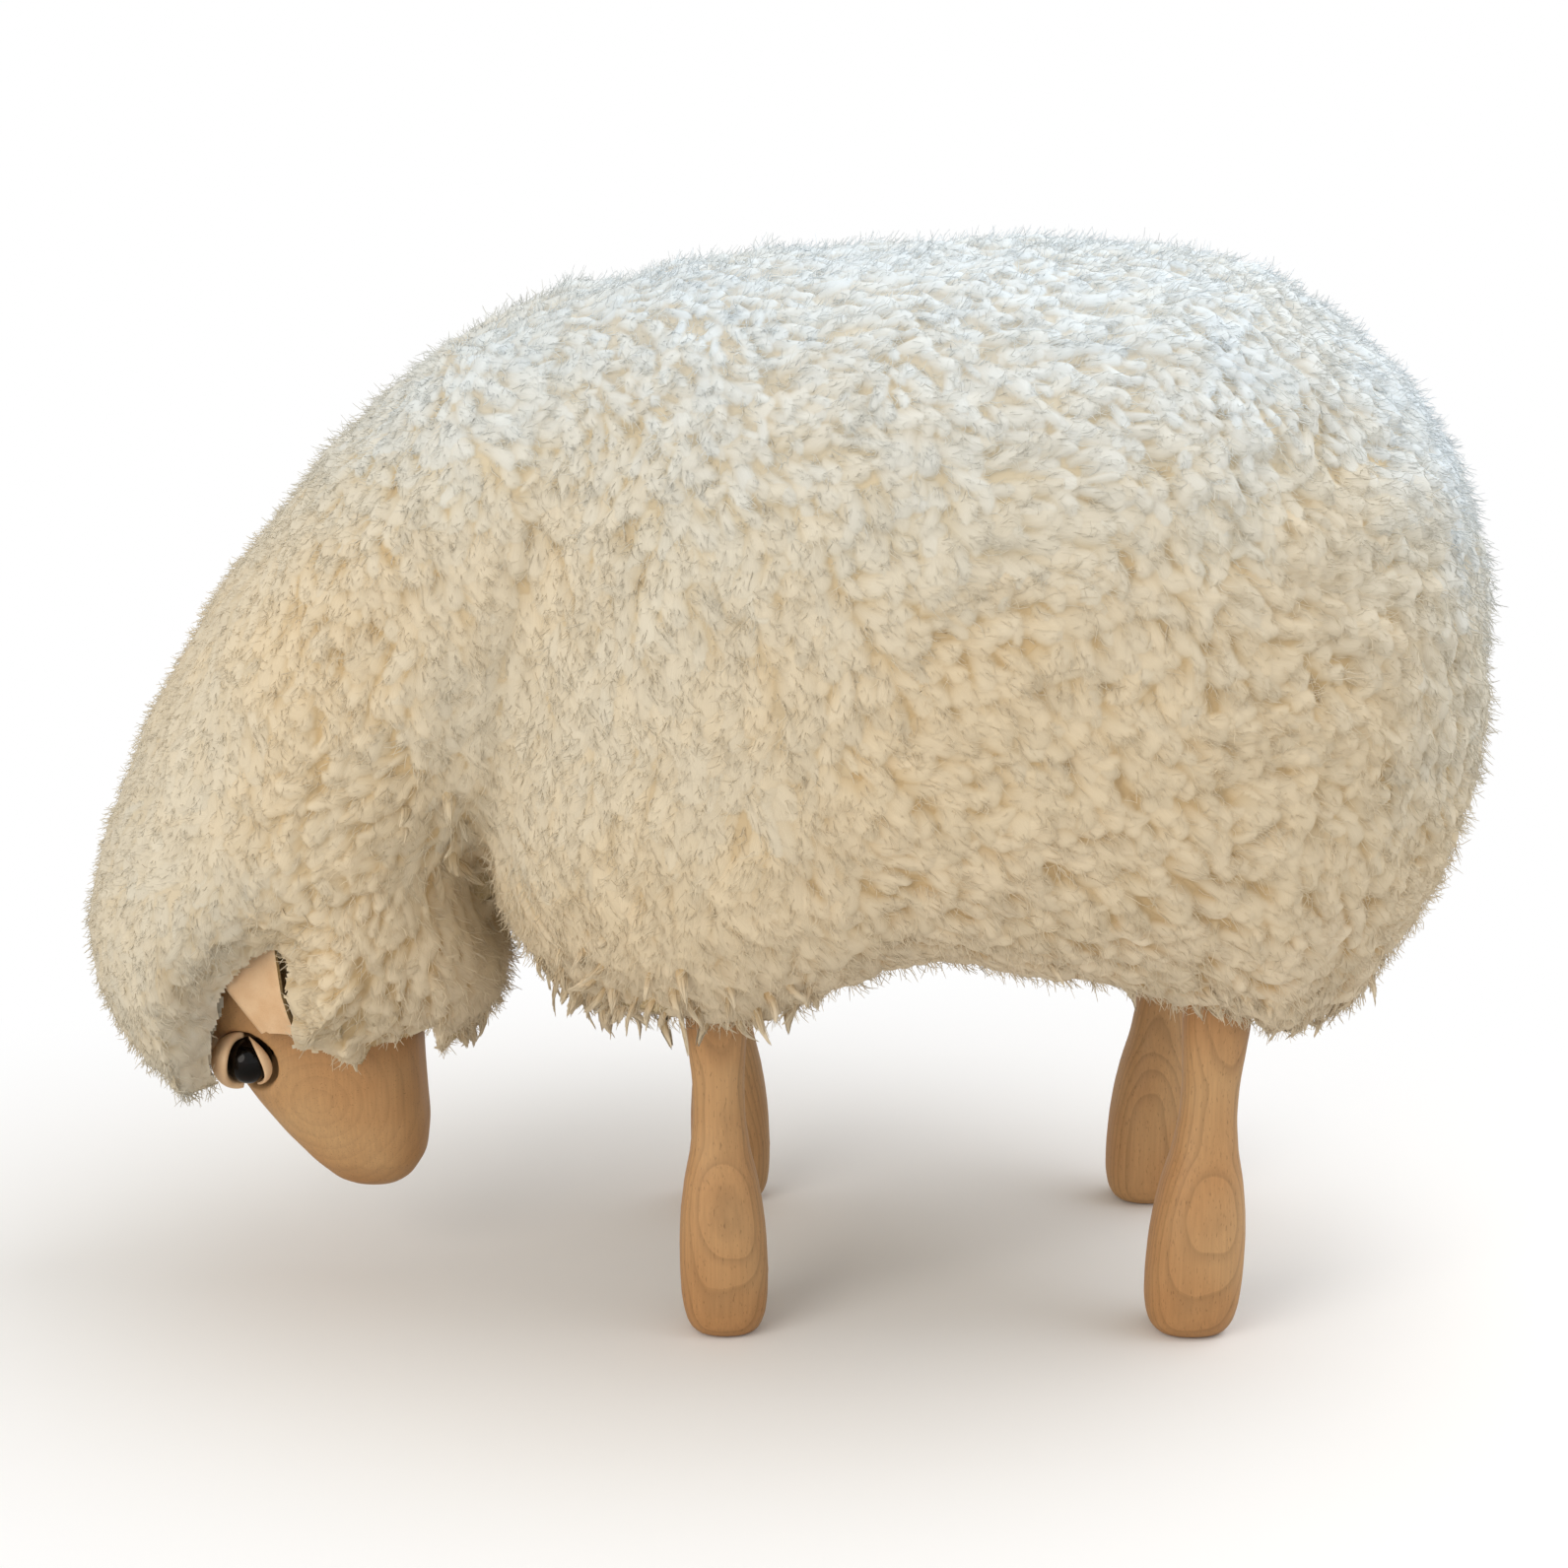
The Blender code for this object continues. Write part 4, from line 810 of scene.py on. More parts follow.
def scatter(points, normals, triangles, random):
    """Lock roots spread evenly over the outside of the fleece, and the hide's normals there."""
    corners = points[triangles]
    crossed = np.cross(corners[:, 1] - corners[:, 0], corners[:, 2] - corners[:, 0])
    area = np.linalg.norm(crossed, axis=1) / 2
    area = np.where(shown_outside(corners.mean(axis=1), unit(crossed)), area, 0)
    wanted = int(area.sum() / LOCK_SPACING ** 2 * TRIES_PER_LOCK)
    chosen = random.choice(len(triangles), wanted, p=area / area.sum())
    a, b = random.random((2, wanted))
    flip = a + b > 1
    a, b = np.where(flip, 1 - a, a), np.where(flip, 1 - b, b)
    weights = np.stack((1 - a - b, a, b), axis=1)[:, :, None]
    roots = (corners[chosen] * weights).sum(axis=1)
    rises = unit((normals[triangles[chosen]] * weights).sum(axis=1))
    kept, cells = [], {}
    near = list(product((-1, 0, 1), repeat=3))

    def crowded(cell, spot):
        """Whether a root that is kept lies too near."""
        for i, j, k in near:
            for other in cells.get((cell[0] + i, cell[1] + j, cell[2] + k), ()):
                if math.dist(spot, other) < LOCK_SPACING:
                    return True
        return False

    for index, (cell, spot) in enumerate(zip(np.floor(roots / LOCK_SPACING).astype(int).tolist(),
                                             roots.tolist())):
        if not crowded(cell, spot):
            cells.setdefault(tuple(cell), []).append(spot)
            kept.append(index)
    return roots[kept], rises[kept]


def comb_direction(roots, rises, random):
    """The way the locks lie: back and down on the flanks, down over the shoulder, forward
    and down on the neck, forward behind the ear, and hanging at the skirt."""
    x, y, z = roots.T
    body = ramp(*NECK_END, x)
    neck = 1 - body
    shoulder = body * (1 - ramp(*COMBED_SHOULDER_END, x)) * (1 - ramp(*COMBED_SHOULDER_TOP, z))
    skirt = 1 - ramp(*COMBED_SKIRT_TOP, z)
    behind_ear = neck * (1 - ramp(1.0, 1.9, face_reach(roots))) * ramp(*BEHIND_EAR, x)
    wish = np.tile(FLANK_LIE, (len(roots), 1))
    for share, lie in ((shoulder, SHOULDER_LIE), (neck, NECK_LIE), (skirt, SKIRT_LIE),
                       (behind_ear, BEHIND_EAR_LIE)):
        wish += share[:, None] * (np.array(lie) - wish)
    wish[:, 1] += np.sign(y) * ramp(*RIDGE_BOTTOM, z) * 0.35
    across = wish - rises * (wish * rises).sum(axis=1)[:, None]
    straight_down = np.linalg.norm(across, axis=1) < 0.25
    side = np.stack((0.3 * np.ones_like(y), np.sign(y), np.zeros_like(y)), axis=1)
    side -= rises * (side * rises).sum(axis=1)[:, None]
    across[straight_down] += side[straight_down] * 0.5
    across = unit(across)
    turn = drift(roots, 0.030, 11) * 0.55 + drift(roots, 0.011, 12) * 0.35
    turn += random.normal(0, COMB_SPREAD, len(roots))
    return across * np.cos(turn)[:, None] + np.cross(rises, across) * np.sin(turn)[:, None]


def zone_shares(roots):
    """How far each lock belongs to the neck, brow, shoulder, back and skirt, from 0 to 1."""
    x, _, z = roots.T
    body = ramp(*NECK_END, x)
    neck = 1 - body
    brow = neck * (1 - ramp(*BROW_END, x - (z - BROW_LEVEL) * BROW_SLANT))
    brow *= ramp(1.15, 1.8, face_reach(roots))
    shoulder = body * (1 - ramp(*SHOULDER_END, x)) * (1 - ramp(*SHOULDER_TOP, z))
    back = ramp(*BACK_BOTTOM, z) * ramp(*BACK_START, x)
    skirt = (1 - ramp(*SKIRT_TOP, z)) * ramp(*CHEST_END, x)
    return neck, brow, shoulder, back, skirt


def tint_and_light_of(roots, shoulder, random):
    """The tint of each lock's wool: a slow random drift and a random spread, with the painted light of the
    zones and the shoulder on top.
    """
    x, _, z = roots.T
    tint_and_light = TINT_LEVEL + TINT_DRIFT * drift(roots, 0.05, 21) + SHOULDER_PAINTED_LIGHT * shoulder
    for amount, along, up in PAINTED_LIGHT_ZONES:
        tint_and_light += amount * (ramp(*along, x) if along else 1) * ramp(*up, z)
    return np.clip(tint_and_light + random.normal(0, TINT_SPREAD, len(roots)), 0, 1)


def grow_locks(skin_mesh, random):
    """Where each lock stands and how it lies, its sizes, the zones it belongs to, its tone,
    tint and curl."""
    roots, rises = scatter(*mesh_points(skin_mesh), random)
    comb = comb_direction(roots, rises, random)
    count = len(roots)
    neck, brow, shoulder, back, skirt = zone_shares(roots)
    length, width, height = LOCK_SIZES @ np.stack((np.ones(count), shoulder, back, brow, neck))
    length = length * random.uniform(*LENGTH_RANGE, count)
    width = width * np.exp(random.normal(0, WIDTH_SPREAD, count))
    height = height * random.uniform(*HEIGHT_RANGE, count)
    tone = random.random(count)
    tint_and_light = tint_and_light_of(roots, shoulder, random)
    curl = random.normal(0, CURL_SPREAD, count) * (1 - 0.6 * shoulder - 0.6 * brow)
    return SimpleNamespace(roots=roots, rises=rises, comb=comb, length=length, width=width, height=height,
                           brow=brow, shoulder=shoulder, skirt=skirt, tone=tone, tint_and_light=tint_and_light, curl=curl)


# The merged surface of the fleece

def stamp_locks(places, locks):
    """How high the merged locks stand at each place, the lock on top and the place on it."""
    side = np.cross(locks.rises, locks.comb)
    middle = locks.roots + locks.comb * (locks.length * 0.5)[:, None]
    lock_cells, place_cells = {}, {}
    for index, cell in enumerate(np.floor(middle / CELL).astype(int).tolist()):
        lock_cells.setdefault(tuple(cell), []).append(index)
    keys = np.floor(places / CELL).astype(int)
    order = np.lexsort(keys.T)
    breaks = np.nonzero(np.any(np.diff(keys[order], axis=0) != 0, axis=1))[0] + 1
    for group in np.split(order, breaks):
        place_cells[tuple(keys[group[0]].tolist())] = group
    top = np.zeros(len(places))
    owner = np.zeros(len(places), dtype=int)
    spot = np.zeros((len(places), 2))
    steps = list(product(range(-2, 3), repeat=3))
    for cell, group in place_cells.items():
        near = []
        for i, j, k in steps:
            near += lock_cells.get((cell[0] + i, cell[1] + j, cell[2] + k), [])
        if not near:
            continue
        near = np.array(near)
        away = places[group][:, None] - locks.roots[near][None]
        u = (away * locks.comb[near]).sum(axis=2) / locks.length[near]
        v = (away * side[near]).sum(axis=2) - locks.curl[near] * locks.width[near] * u * u
        deep = np.abs((away * locks.rises[near]).sum(axis=2)) < LOCK_REACH
        inside = (u > 0) & (u < 1) & deep
        u = np.clip(u, 0, 1)
        spread = locks.width[near] * (ROOT_WIDTH + (1 - ROOT_WIDTH) * np.minimum(u / LOCK_WIDE, 1))
        v = np.clip(np.abs(v) / spread, 0, 1)
        end = np.maximum(u - LOCK_TIP, 0) / (1 - LOCK_TIP)
        dome = np.sqrt(np.clip(1 - v * v - end * end, 0, 1))
        rise = locks.height[near] * (ROOT_HEIGHT + (1 - ROOT_HEIGHT) * u) * dome * inside
        top[group] = (rise ** MERGE_POWER).sum(axis=1) ** (1 / MERGE_POWER)
        best = rise.argmax(axis=1)
        row = np.arange(len(group))
        owner[group] = near[best]
        spot[group] = np.stack((u[row, best], v[row, best]), axis=1)
    return top, owner, spot


def subdivided_patches(skin_mesh):
    """The points, normals and quads of the skin's outside, each of its faces divided finely."""
    quads = mesh_quads(skin_mesh)
    points = mesh_array(skin_mesh.vertices, "co", 3).astype(float)
    corners = points[quads]
    facing = unit(np.cross(corners[:, 2] - corners[:, 0], corners[:, 3] - corners[:, 1]))
    quads = quads[shown_outside(corners.mean(axis=1), facing)]
    used, flat = np.unique(quads, return_inverse=True)
    mesh = array_mesh("patches", points[used], flat.ravel(), np.full(len(quads), 4))
    fine = with_modifiers("fine_patches", mesh, ("SUBSURF", {"levels": FLEECE_STEPS}))
    return *mesh_points(fine)[:2], mesh_quads(fine)


def evened_out(values, quads, rounds):
    """Values at the points of a mesh of quads, spread over their neighbours."""
    shares = np.bincount(quads.ravel(), minlength=len(values))
    for _ in range(rounds):
        patch = np.repeat(values[quads].mean(axis=1), 4)
        values = np.bincount(quads.ravel(), patch, len(values)) / np.maximum(shares, 1)
    return values


def surface_normals(points, quads):
    """Unit normals of a mesh of quads, at its points."""
    corners = points[quads]
    crossed = np.cross(corners[:, 2] - corners[:, 0], corners[:, 3] - corners[:, 1])
    total = np.zeros_like(points)
    for corner in range(4):
        for axis in range(3):
            total[:, axis] += np.bincount(quads[:, corner], crossed[:, axis], len(points))
    return unit(total)


def merged_surface(skin_mesh, locks):
    """The outside of the skin with the locks raised on it, smoother on the brow and shoulder.
    Its shading is softened towards the skin's, because wool scatters light inside."""
    fine, below, quads = subdivided_patches(skin_mesh)
    top, owner, spot = stamp_locks(fine, locks)
    wave = WAVE_HEIGHT * drift(fine, WAVE_SIZE, 31) * (1 - locks.brow[owner])
    smooth = np.maximum(locks.brow, SMOOTH_SHOULDER * locks.shoulder)[owner]
    smooth = evened_out(smooth, quads, SMOOTH_EDGE_ROUNDS)
    level = evened_out(top, quads, MERGE_ROUNDS)
    level += (evened_out(level, quads, 5 * MERGE_ROUNDS) - level) * smooth
    points = fine + below * (level - FLEECE_DEPTH + wave)[:, None]
    soft = (SOFT_SHARE + SMOOTH_SOFTER * smooth)[:, None]
    facing = unit(surface_normals(points, quads) * (1 - soft) + below * soft)
    # How high the lock stands sets its colour: the low places between the locks take the darker root
    # colour, partly as painted shade.
    height = np.clip(top / np.maximum(locks.height[owner], 1e-5), 0, 1)
    height += (0.75 - height) * 0.6 * smooth
    tone = locks.tone[owner]
    lock_place = np.stack((spot[:, 0], spot[:, 1] * 0.4 + tone * LOCK_MAP_STEP), axis=1)
    patches = fine[quads].mean(axis=1).reshape(-1, PATCH_FACES, 3).mean(axis=1)
    return SimpleNamespace(points=points, below=below, facing=facing, quads=quads, owner=owner,
                           height=height, tone=tone, tint_and_light=locks.tint_and_light[owner], lock_place=lock_place,
                           patches=patches)


def bare_free(places):
    """Which places in side view lie clear of the bare face, whose edge is a little ragged."""
    shift = np.stack((drift(places, 0.004, 41), drift(places, 0.004, 42)), axis=1)
    ragged = places[:, [0, 2]] + RAGGED_EDGE * shift
    return ~inside_outline(ragged[:, 0], ragged[:, 1], BARE_FACE)


def side_groups(places, sign, most, among=True):
    """Places on one side of the animal, from head to rump, as numbered groups of row numbers
    with no more than the given number in each."""
    members = np.nonzero(among & ((places[:, 1] < 0) == (sign < 0)))[0]
    members = members[np.argsort(places[members, 0], kind="stable")]
    return enumerate(np.array_split(members, max(1, math.ceil(len(members) / most))), 1)


def rows_of(chosen, each):
    """The rows that belong to the chosen members, where each has the same number of rows."""
    return (chosen[:, None] * each + np.arange(each)).ravel()


def surface_mesh(name, surface, rows, clear):
    """One piece of the fleece's surface, without what covers the bare face. Each patch takes
    its own small square of the baked map."""
    across = math.ceil(math.sqrt(len(rows) / PATCH_FACES))
    kept = clear[rows]
    used, flat = np.unique(surface.quads[rows][kept], return_inverse=True)
    flat = flat.ravel()
    patch, part = np.divmod(np.nonzero(kept)[0], PATCH_FACES)
    left = (patch % across + (part % PATCH_SIDE) / PATCH_SIDE) / across
    low = (patch // across + (part // PATCH_SIDE) / PATCH_SIDE) / across
    right = left + 1 / (across * PATCH_SIDE)
    high = low + 1 / (across * PATCH_SIDE)
    bake = np.stack((left, low, right, low, right, high, left, high), axis=1)
    return array_mesh(
        name, surface.points[used], flat, np.full(len(patch), 4), surface.facing[used],
        maps=(("OFBake", bake), ("LockMap", surface.lock_place[used][flat])),
        traits=[(key, getattr(surface, key)[used]) for key in ("height", "tone", "tint_and_light")])


def make_surface(surface, material):
    """The pieces of the fleece's surface."""
    clear = bare_free(surface.points[surface.quads].mean(axis=1))
    neck = surface.patches[:, 0] < NECK_CUT
    for region, among in (("neck", neck), ("body", ~neck)):
        for side, sign in SIDES:
            for number, chosen in side_groups(surface.patches, sign, PATCHES_PER_PIECE, among):
                name = "fleece_%s_%s_%d" % (region, side, number)
                mesh = surface_mesh(name, surface, rows_of(chosen, PATCH_FACES), clear)
                link_object(name, mesh, (material,))


# Loose tufts, strands and fuzz

def lock_lines(roots, rises, comb, length, lean, curl, wave, rings, random):
    """The middle line of each lock: out of the hide, over to the combed side, with a curl."""
    steps = np.linspace(0, 1, rings)
    count = len(roots)
    side = np.cross(rises, comb)
    line = np.zeros((count, rings, 3))
    line[:, 0] = roots
    phase = random.uniform(0, 6.28, count)
    for k in range(1, rings):
        s = (steps[k - 1] + steps[k]) / 2
        angle = lean[:, 0] + (lean[:, 1] - lean[:, 0]) * s ** 1.2
        bend = curl * (s - 0.3) + wave * np.sin(phase + s * 5.5)
        way = rises * np.cos(angle)[:, None] + comb * np.sin(angle)[:, None] + side * bend[:, None]
        line[:, k] = line[:, k - 1] + unit(way) * (length * (steps[k] - steps[k - 1]))[:, None]
    return line


def tubes(line, radius, profile, sides, flat, broad, random):
    """Tubes round many lines at once: their points and facing as (tube, ring, side).

    The section is flattened across the line, and broad gives the way of its wide side.
    """
    count, rings = line.shape[:2]
    along = np.empty_like(line)
    along[:, 1:-1] = line[:, 2:] - line[:, :-2]
    along[:, 0] = line[:, 1] - line[:, 0]
    along[:, -1] = line[:, -1] - line[:, -2]
    along = unit(along)
    second = unit(np.cross(along, broad[:, None, :]))
    first = np.cross(second, along)[:, :, None]
    second = second[:, :, None]
    angle = 2 * math.pi * np.arange(sides) / sides
    c, s = np.cos(angle)[:, None], np.sin(angle)[:, None]
    bump = 1 + random.normal(0, 0.09, (count, 1, sides)) + random.normal(0, 0.06, (count, rings, sides))
    size = radius[:, None, None] * np.asarray(profile)[None, :, None] * bump
    spoke = first * c + second * s * flat
    return line[:, :, None] + spoke * size[..., None], unit(first * c * flat + second * s)


def lay_strands(line, radius, rises, comb, tuft, random):
    """Strands that run along the outside of each tuft and a little past its tip, and the places
    on the tuft where each starts and ends."""
    number = len(tuft)
    rings = line.shape[1]
    start = random.uniform(0.15, 0.70, number)
    end = np.minimum(start + random.uniform(0.35, 0.60, number), random.uniform(0.90, 1.16, number))
    around = random.uniform(-0.35, math.pi + 0.35, number)
    slide = random.normal(0, 0.5, number)
    lift = random.uniform(0.0, 1.0, number) ** 2
    broad = np.cross(rises, comb)[tuft]
    strand = np.empty((number, FIBRE_RINGS, 3))
    for k in range(FIBRE_RINGS):
        share = k / (FIBRE_RINGS - 1)
        at = start + (end - start) * share
        place = np.clip(at, 0, 1) * (rings - 1)
        low = np.minimum(place.astype(int), rings - 2)
        before, after = line[tuft, low], line[tuft, low + 1]
        way = unit(after - before)
        middle = before + (after - before) * (place - low)[:, None]
        middle = middle + way * (np.maximum(at - 1, 0) * 0.018)[:, None]
        width = np.interp(np.clip(at, 0, 1), np.linspace(0, 1, rings), TUFT_PROFILE) * radius[tuft]
        width = width * (1 - 0.55 * np.maximum(at - 0.9, 0) / 0.3) + 0.0007 * lift * share
        angle = around + slide * share
        up = unit(np.cross(way, broad))
        up = up * np.sign((up * rises[tuft]).sum(axis=1))[:, None]
        strand[:, k] = middle + broad * (np.cos(angle) * width)[:, None]
        strand[:, k] += up * (np.sin(angle) * width * 0.66)[:, None]
    return strand, start, np.minimum(end, 1.0)


def tube_faces(count, rings, sides):
    """For tubes with closed ends: the point numbers of the faces' corners, the number of
    corners of each face, and each corner's place along and around the tube."""
    end = rings * sides
    last = rings - 1
    rows = []
    for i, j in product(range(last), range(sides)):
        rows += [((i + a) * sides + (j + b) % sides, i + a, j + b)
                 for a, b in ((0, 0), (0, 1), (1, 1), (1, 0))]
    for j in range(sides):
        rows += [((j + 1) % sides, 0, j + 1), (j, 0, j), (end, 0, j + 0.5)]
    for j in range(sides):
        rows += [(last * sides + j, last, j), (last * sides + (j + 1) % sides, last, j + 1),
                 (end + 1, rings, j + 0.5)]
    corner, high, around = np.array(rows).T
    corners = corner.astype(int) + np.arange(count)[:, None] * (end + 2)
    sizes = np.repeat((4, 3), (last * sides, 2 * sides))
    return corners, sizes, high / rings, around / sides


def wool_mesh(name, groups):
    """One mesh of many tubes. Each group has the tubes' points and facing, the skin's facing
    below, the heights of their two ends, their tone and their tint."""
    parts = []
    start = 0
    for grid, facing, rises, low, high, tone, tint_and_light in groups:
        count, rings, sides = grid.shape[:3]
        roots = grid[:, :1].mean(axis=2)
        ends = grid[:, -1].mean(axis=1, keepdims=True)
        before = grid[:, -2].mean(axis=1, keepdims=True)
        tips = ends + (ends - before) * TIP_LENGTH
        points = np.concatenate((grid.reshape(count, -1, 3), roots, tips), axis=1)
        facing = np.concatenate((facing.reshape(count, -1, 3), unit(roots - grid[:, 1:2].mean(axis=2)),
                                 unit(ends - before)), axis=1)
        facing = unit(facing * (1 - SOFT_SHARE) + rises[:, None] * SOFT_SHARE)
        corners, sizes, up, around = tube_faces(count, rings, sides)
        low, span = low[:, None], (high - low)[:, None]
        rise = low + span * up
        share = np.broadcast_to(around, rise.shape)
        lock = np.stack((rise, share + (tone * LOCK_MAP_STEP)[:, None]), axis=-1)
        cell = np.floor(tone * (TONES - 0.01)) + TONES * np.floor(tint_and_light * (TINTS - 0.01))
        row = (cell[:, None] + 0.15 + 0.7 * share) / (TONES * TINTS)
        bake = np.stack((0.01 + 0.98 * rise, row), axis=-1)
        height = low + span * np.concatenate((np.repeat(np.arange(rings) / rings, sides), (0.0, 1.0)))
        size = points.shape[1]
        parts.append((points.reshape(-1, 3), corners.ravel() + start, np.tile(sizes, count),
                      facing.reshape(-1, 3), bake.reshape(-1, 2), lock.reshape(-1, 2),
                      height.ravel(), np.repeat(tone, size), np.repeat(tint_and_light, size)))
        start += count * size
    points, corners, sizes, facing, bake, lock, height, tone, tint_and_light = map(np.concatenate, zip(*parts))
    return array_mesh(name, points, corners, sizes, facing, (("OFBake", bake), ("LockMap", lock)),
                      (("height", height), ("tone", tone), ("tint_and_light", tint_and_light)))


def bare_share(line):
    """For each lock, the share of its length before it reaches the bare face."""
    inside = inside_outline(line[..., 0], line[..., 2], BARE_FACE)
    first = np.where(inside.any(axis=1), inside.argmax(axis=1), line.shape[1])
    return first / (line.shape[1] - 1)


def loose_tufts(locks, random):
    """Loose tufts, a fringe along the skirt's hem and under the cheek, with their strands:
    their roots and the tubes of both."""
    x = locks.roots[:, 0]
    hanging = -locks.rises[:, 2]
    hem = locks.skirt * ramp(0.05, 0.35, hanging)
    chin = (x < CHIN_END) * ramp(*BEHIND_EAR, x) * ramp(0.25, 0.55, hanging)
    own = np.nonzero(random.random(len(x)) < np.maximum(HEM_CHANCE * hem, CHIN_CHANCE * chin))[0]
    count = len(own)
    lean = np.stack((random.normal(0.5, 0.15, count), random.normal(1.25, 0.3, count)), axis=1)
    length = locks.length[own] * random.uniform(*TUFT_LENGTH, count)

    def lines():
        """The middle lines of the tufts that are left."""
        start = locks.roots[own] - locks.rises[own] * TUFT_ROOT_DEPTH
        return lock_lines(start, locks.rises[own], locks.comb[own], length, lean, locks.curl[own] * 0.6,
                          0.15, TUFT_RINGS, random)

    reach = bare_share(lines())
    kept = reach > TUFT_LEAST
    length = np.where(reach < 1, length * reach * 0.9, length)[kept]
    own, lean = own[kept], lean[kept]
    line = lines()
    rises, comb = locks.rises[own], locks.comb[own]
    radius = locks.width[own] * random.uniform(*TUFT_WIDTH, len(own))
    grid = tubes(line, radius, TUFT_PROFILE, TUFT_SIDES, TUFT_FLATNESS, np.cross(rises, comb), random)
    tufts = (*grid, rises, np.zeros(len(own)), np.ones(len(own)), locks.tone[own], locks.tint_and_light[own])
    tuft = np.repeat(np.arange(len(own)), STRANDS)
    strand, low, high = lay_strands(line, radius, rises, comb, tuft, random)
    broad = unit(random.normal(size=(len(tuft), 3)))
    radius = FIBRE_RADIUS * random.uniform(0.8, 1.4, len(tuft))
    grid = tubes(strand, radius, (0.8, 1.0, 0.7), FIBRE_SIDES, 1.0, broad, random)
    strands = (*grid, rises[tuft], low, high, locks.tone[own[tuft]], locks.tint_and_light[own[tuft]])
    return locks.roots[own], tufts, strands


def wool_fuzz(surface, locks, random):
    """Single fibres that stand a little off the surface: their roots and their tubes."""
    at = random.integers(0, len(surface.points), FUZZ_FIBRES)
    own, below = surface.owner[at], surface.below[at]
    start = surface.points[at] + random.normal(0, FUZZ_SPREAD, (FUZZ_FIBRES, 3)) - below * FUZZ_SPREAD
    way = unit(locks.comb[own] + below * random.uniform(0.1, 0.9, FUZZ_FIBRES)[:, None]
               + random.normal(0, 0.35, (FUZZ_FIBRES, 3)))
    away = unit(np.cross(way, random.normal(size=(FUZZ_FIBRES, 3))))
    straight = np.zeros(FUZZ_FIBRES)
    lean = np.stack((straight, random.normal(0.8, 0.5, FUZZ_FIBRES)), axis=1)
    length = random.uniform(*FUZZ_LENGTH, FUZZ_FIBRES) * (1 - 0.3 * locks.brow[own])
    line = lock_lines(start, way, away, length, lean, straight, 0.2, FIBRE_RINGS, random)
    clear = ~inside_outline(line[:, :2, 0], line[:, :2, 2], BARE_FACE).any(axis=1)
    line, own, away, below = line[clear], own[clear], away[clear], below[clear]
    radius = FIBRE_RADIUS * 0.8 * random.uniform(0.7, 1.2, len(line))
    grid = tubes(line, radius, (1.0, 0.9, 0.6), FIBRE_SIDES, 1.0, away, random)
    fuzz = (*grid, below, np.full(len(own), FUZZ_LOW), np.ones(len(own)), locks.tone[own], locks.tint_and_light[own])
    return line[:, 0], fuzz


def make_wool(material):
    """The fleece: a surface of merged locks, with loose tufts and fine fuzz on it."""
    random = np.random.default_rng(7)
    skin_mesh = fleece_skin("fleece_skin", HIDE_VOXEL, face_cover())
    locks = grow_locks(skin_mesh, random)
    surface = merged_surface(skin_mesh, locks)
    make_surface(surface, material)
    tuft_roots, tufts, strands = loose_tufts(locks, random)
    fuzz_roots, fuzz = wool_fuzz(surface, locks, random)
    fibre_triangles = 2 * FIBRE_SIDES * FIBRE_RINGS
    tuft_triangles = 2 * TUFT_SIDES * TUFT_RINGS + STRANDS * fibre_triangles
    for side, sign in SIDES:
        for number, chosen in side_groups(tuft_roots, sign, TRIANGLES_PER_PIECE / tuft_triangles):
            rows = rows_of(chosen, STRANDS)
            groups = ([values[chosen] for values in tufts], [values[rows] for values in strands])
            name = "loose_locks_%s_%d" % (side, number)
            link_object(name, wool_mesh(name, groups), (material,))
        for number, chosen in side_groups(fuzz_roots, sign, TRIANGLES_PER_PIECE / fibre_triangles):
            name = "wool_fuzz_%s_%d" % (side, number)
            mesh = wool_mesh(name, ([values[chosen] for values in fuzz],))
            link_object(name, mesh, (material,))


def make_hide(material):
    """The hide with its dense under-wool, below the lock tips and shallow near the bare face."""
    hide = fleece_skin("fleece_hide", HIDE_VOXEL * HIDE_COARSER)
    points, normals, _ = mesh_points(hide)
    head = points[:, 0] < HEAD_END
    under_cheek = head & (points[:, 0] > BEHIND_EAR[0]) & (points[:, 2] < CHEEK_TOP)
    room = (np.abs(points[:, 1]) - HEAD_HALF_WIDTH) * 0.7
    room = np.maximum(room, np.where(under_cheek, 0, HIDE_LEAST_DEPTH))
    room = np.where(under_cheek | head & (face_reach(points) < FACE_NEAR), room, 1)
    depth = np.minimum(HIDE_DEPTH, room) * shown_outside(points, normals)
    set_points(hide, points - normals * depth[:, None])
    opening = outline_solid("face_opening", BARE_FACE, ((-FACE_CUT, FACE_CUT),))
    cutter = placed("face_opening", opening)
    cut = {"object": cutter, "operation": "DIFFERENCE", "solver": "FAST"}
    clipped = with_modifiers("fleece_hide", hide, ("BOOLEAN", cut))
    bpy.data.objects.remove(cutter)
    piece = link_object("fleece_hide", clipped, (material,))
    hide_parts(*FLEECE_NODES)


# Wood

def make_legs_and_head():
    """The four legs and the head, with the round edges that a spokeshave leaves."""
    for node, pith in LEG_PITHS.items():
        mesh = evened(node + "_carved", (node,), CARVED_VOXEL, LEG_ROUNDS)
        piece = link_object(node + "_carved", mesh, (waxed_beech("beech_" + node, *pith),))
        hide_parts(node)
    mesh = evened("head_block_carved", ("head_block",), CARVED_VOXEL, HEAD_ROUNDS)
    beech = waxed_beech("beech_head_block", *HEAD_PITH, HEAD_RING, 0.2)
    piece = link_object("head_block_carved", mesh, (beech,))
    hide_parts("head_block")


# Eyes, lids and ears

def eye_frame(sign):
    """Middle of the eye, the way it looks, the way to the front of the head and the way up."""
    middle = np.array((EYE_MIDDLE[0], sign * EYE_MIDDLE[1], EYE_MIDDLE[2]))
    outward = np.array((-math.sin(EYE_TURN), sign * math.cos(EYE_TURN), 0.0))
    forward = np.array((-outward[1] * sign, outward[0] * sign, 0.0))
    return middle, outward, forward, np.array((0.0, 0.0, 1.0))


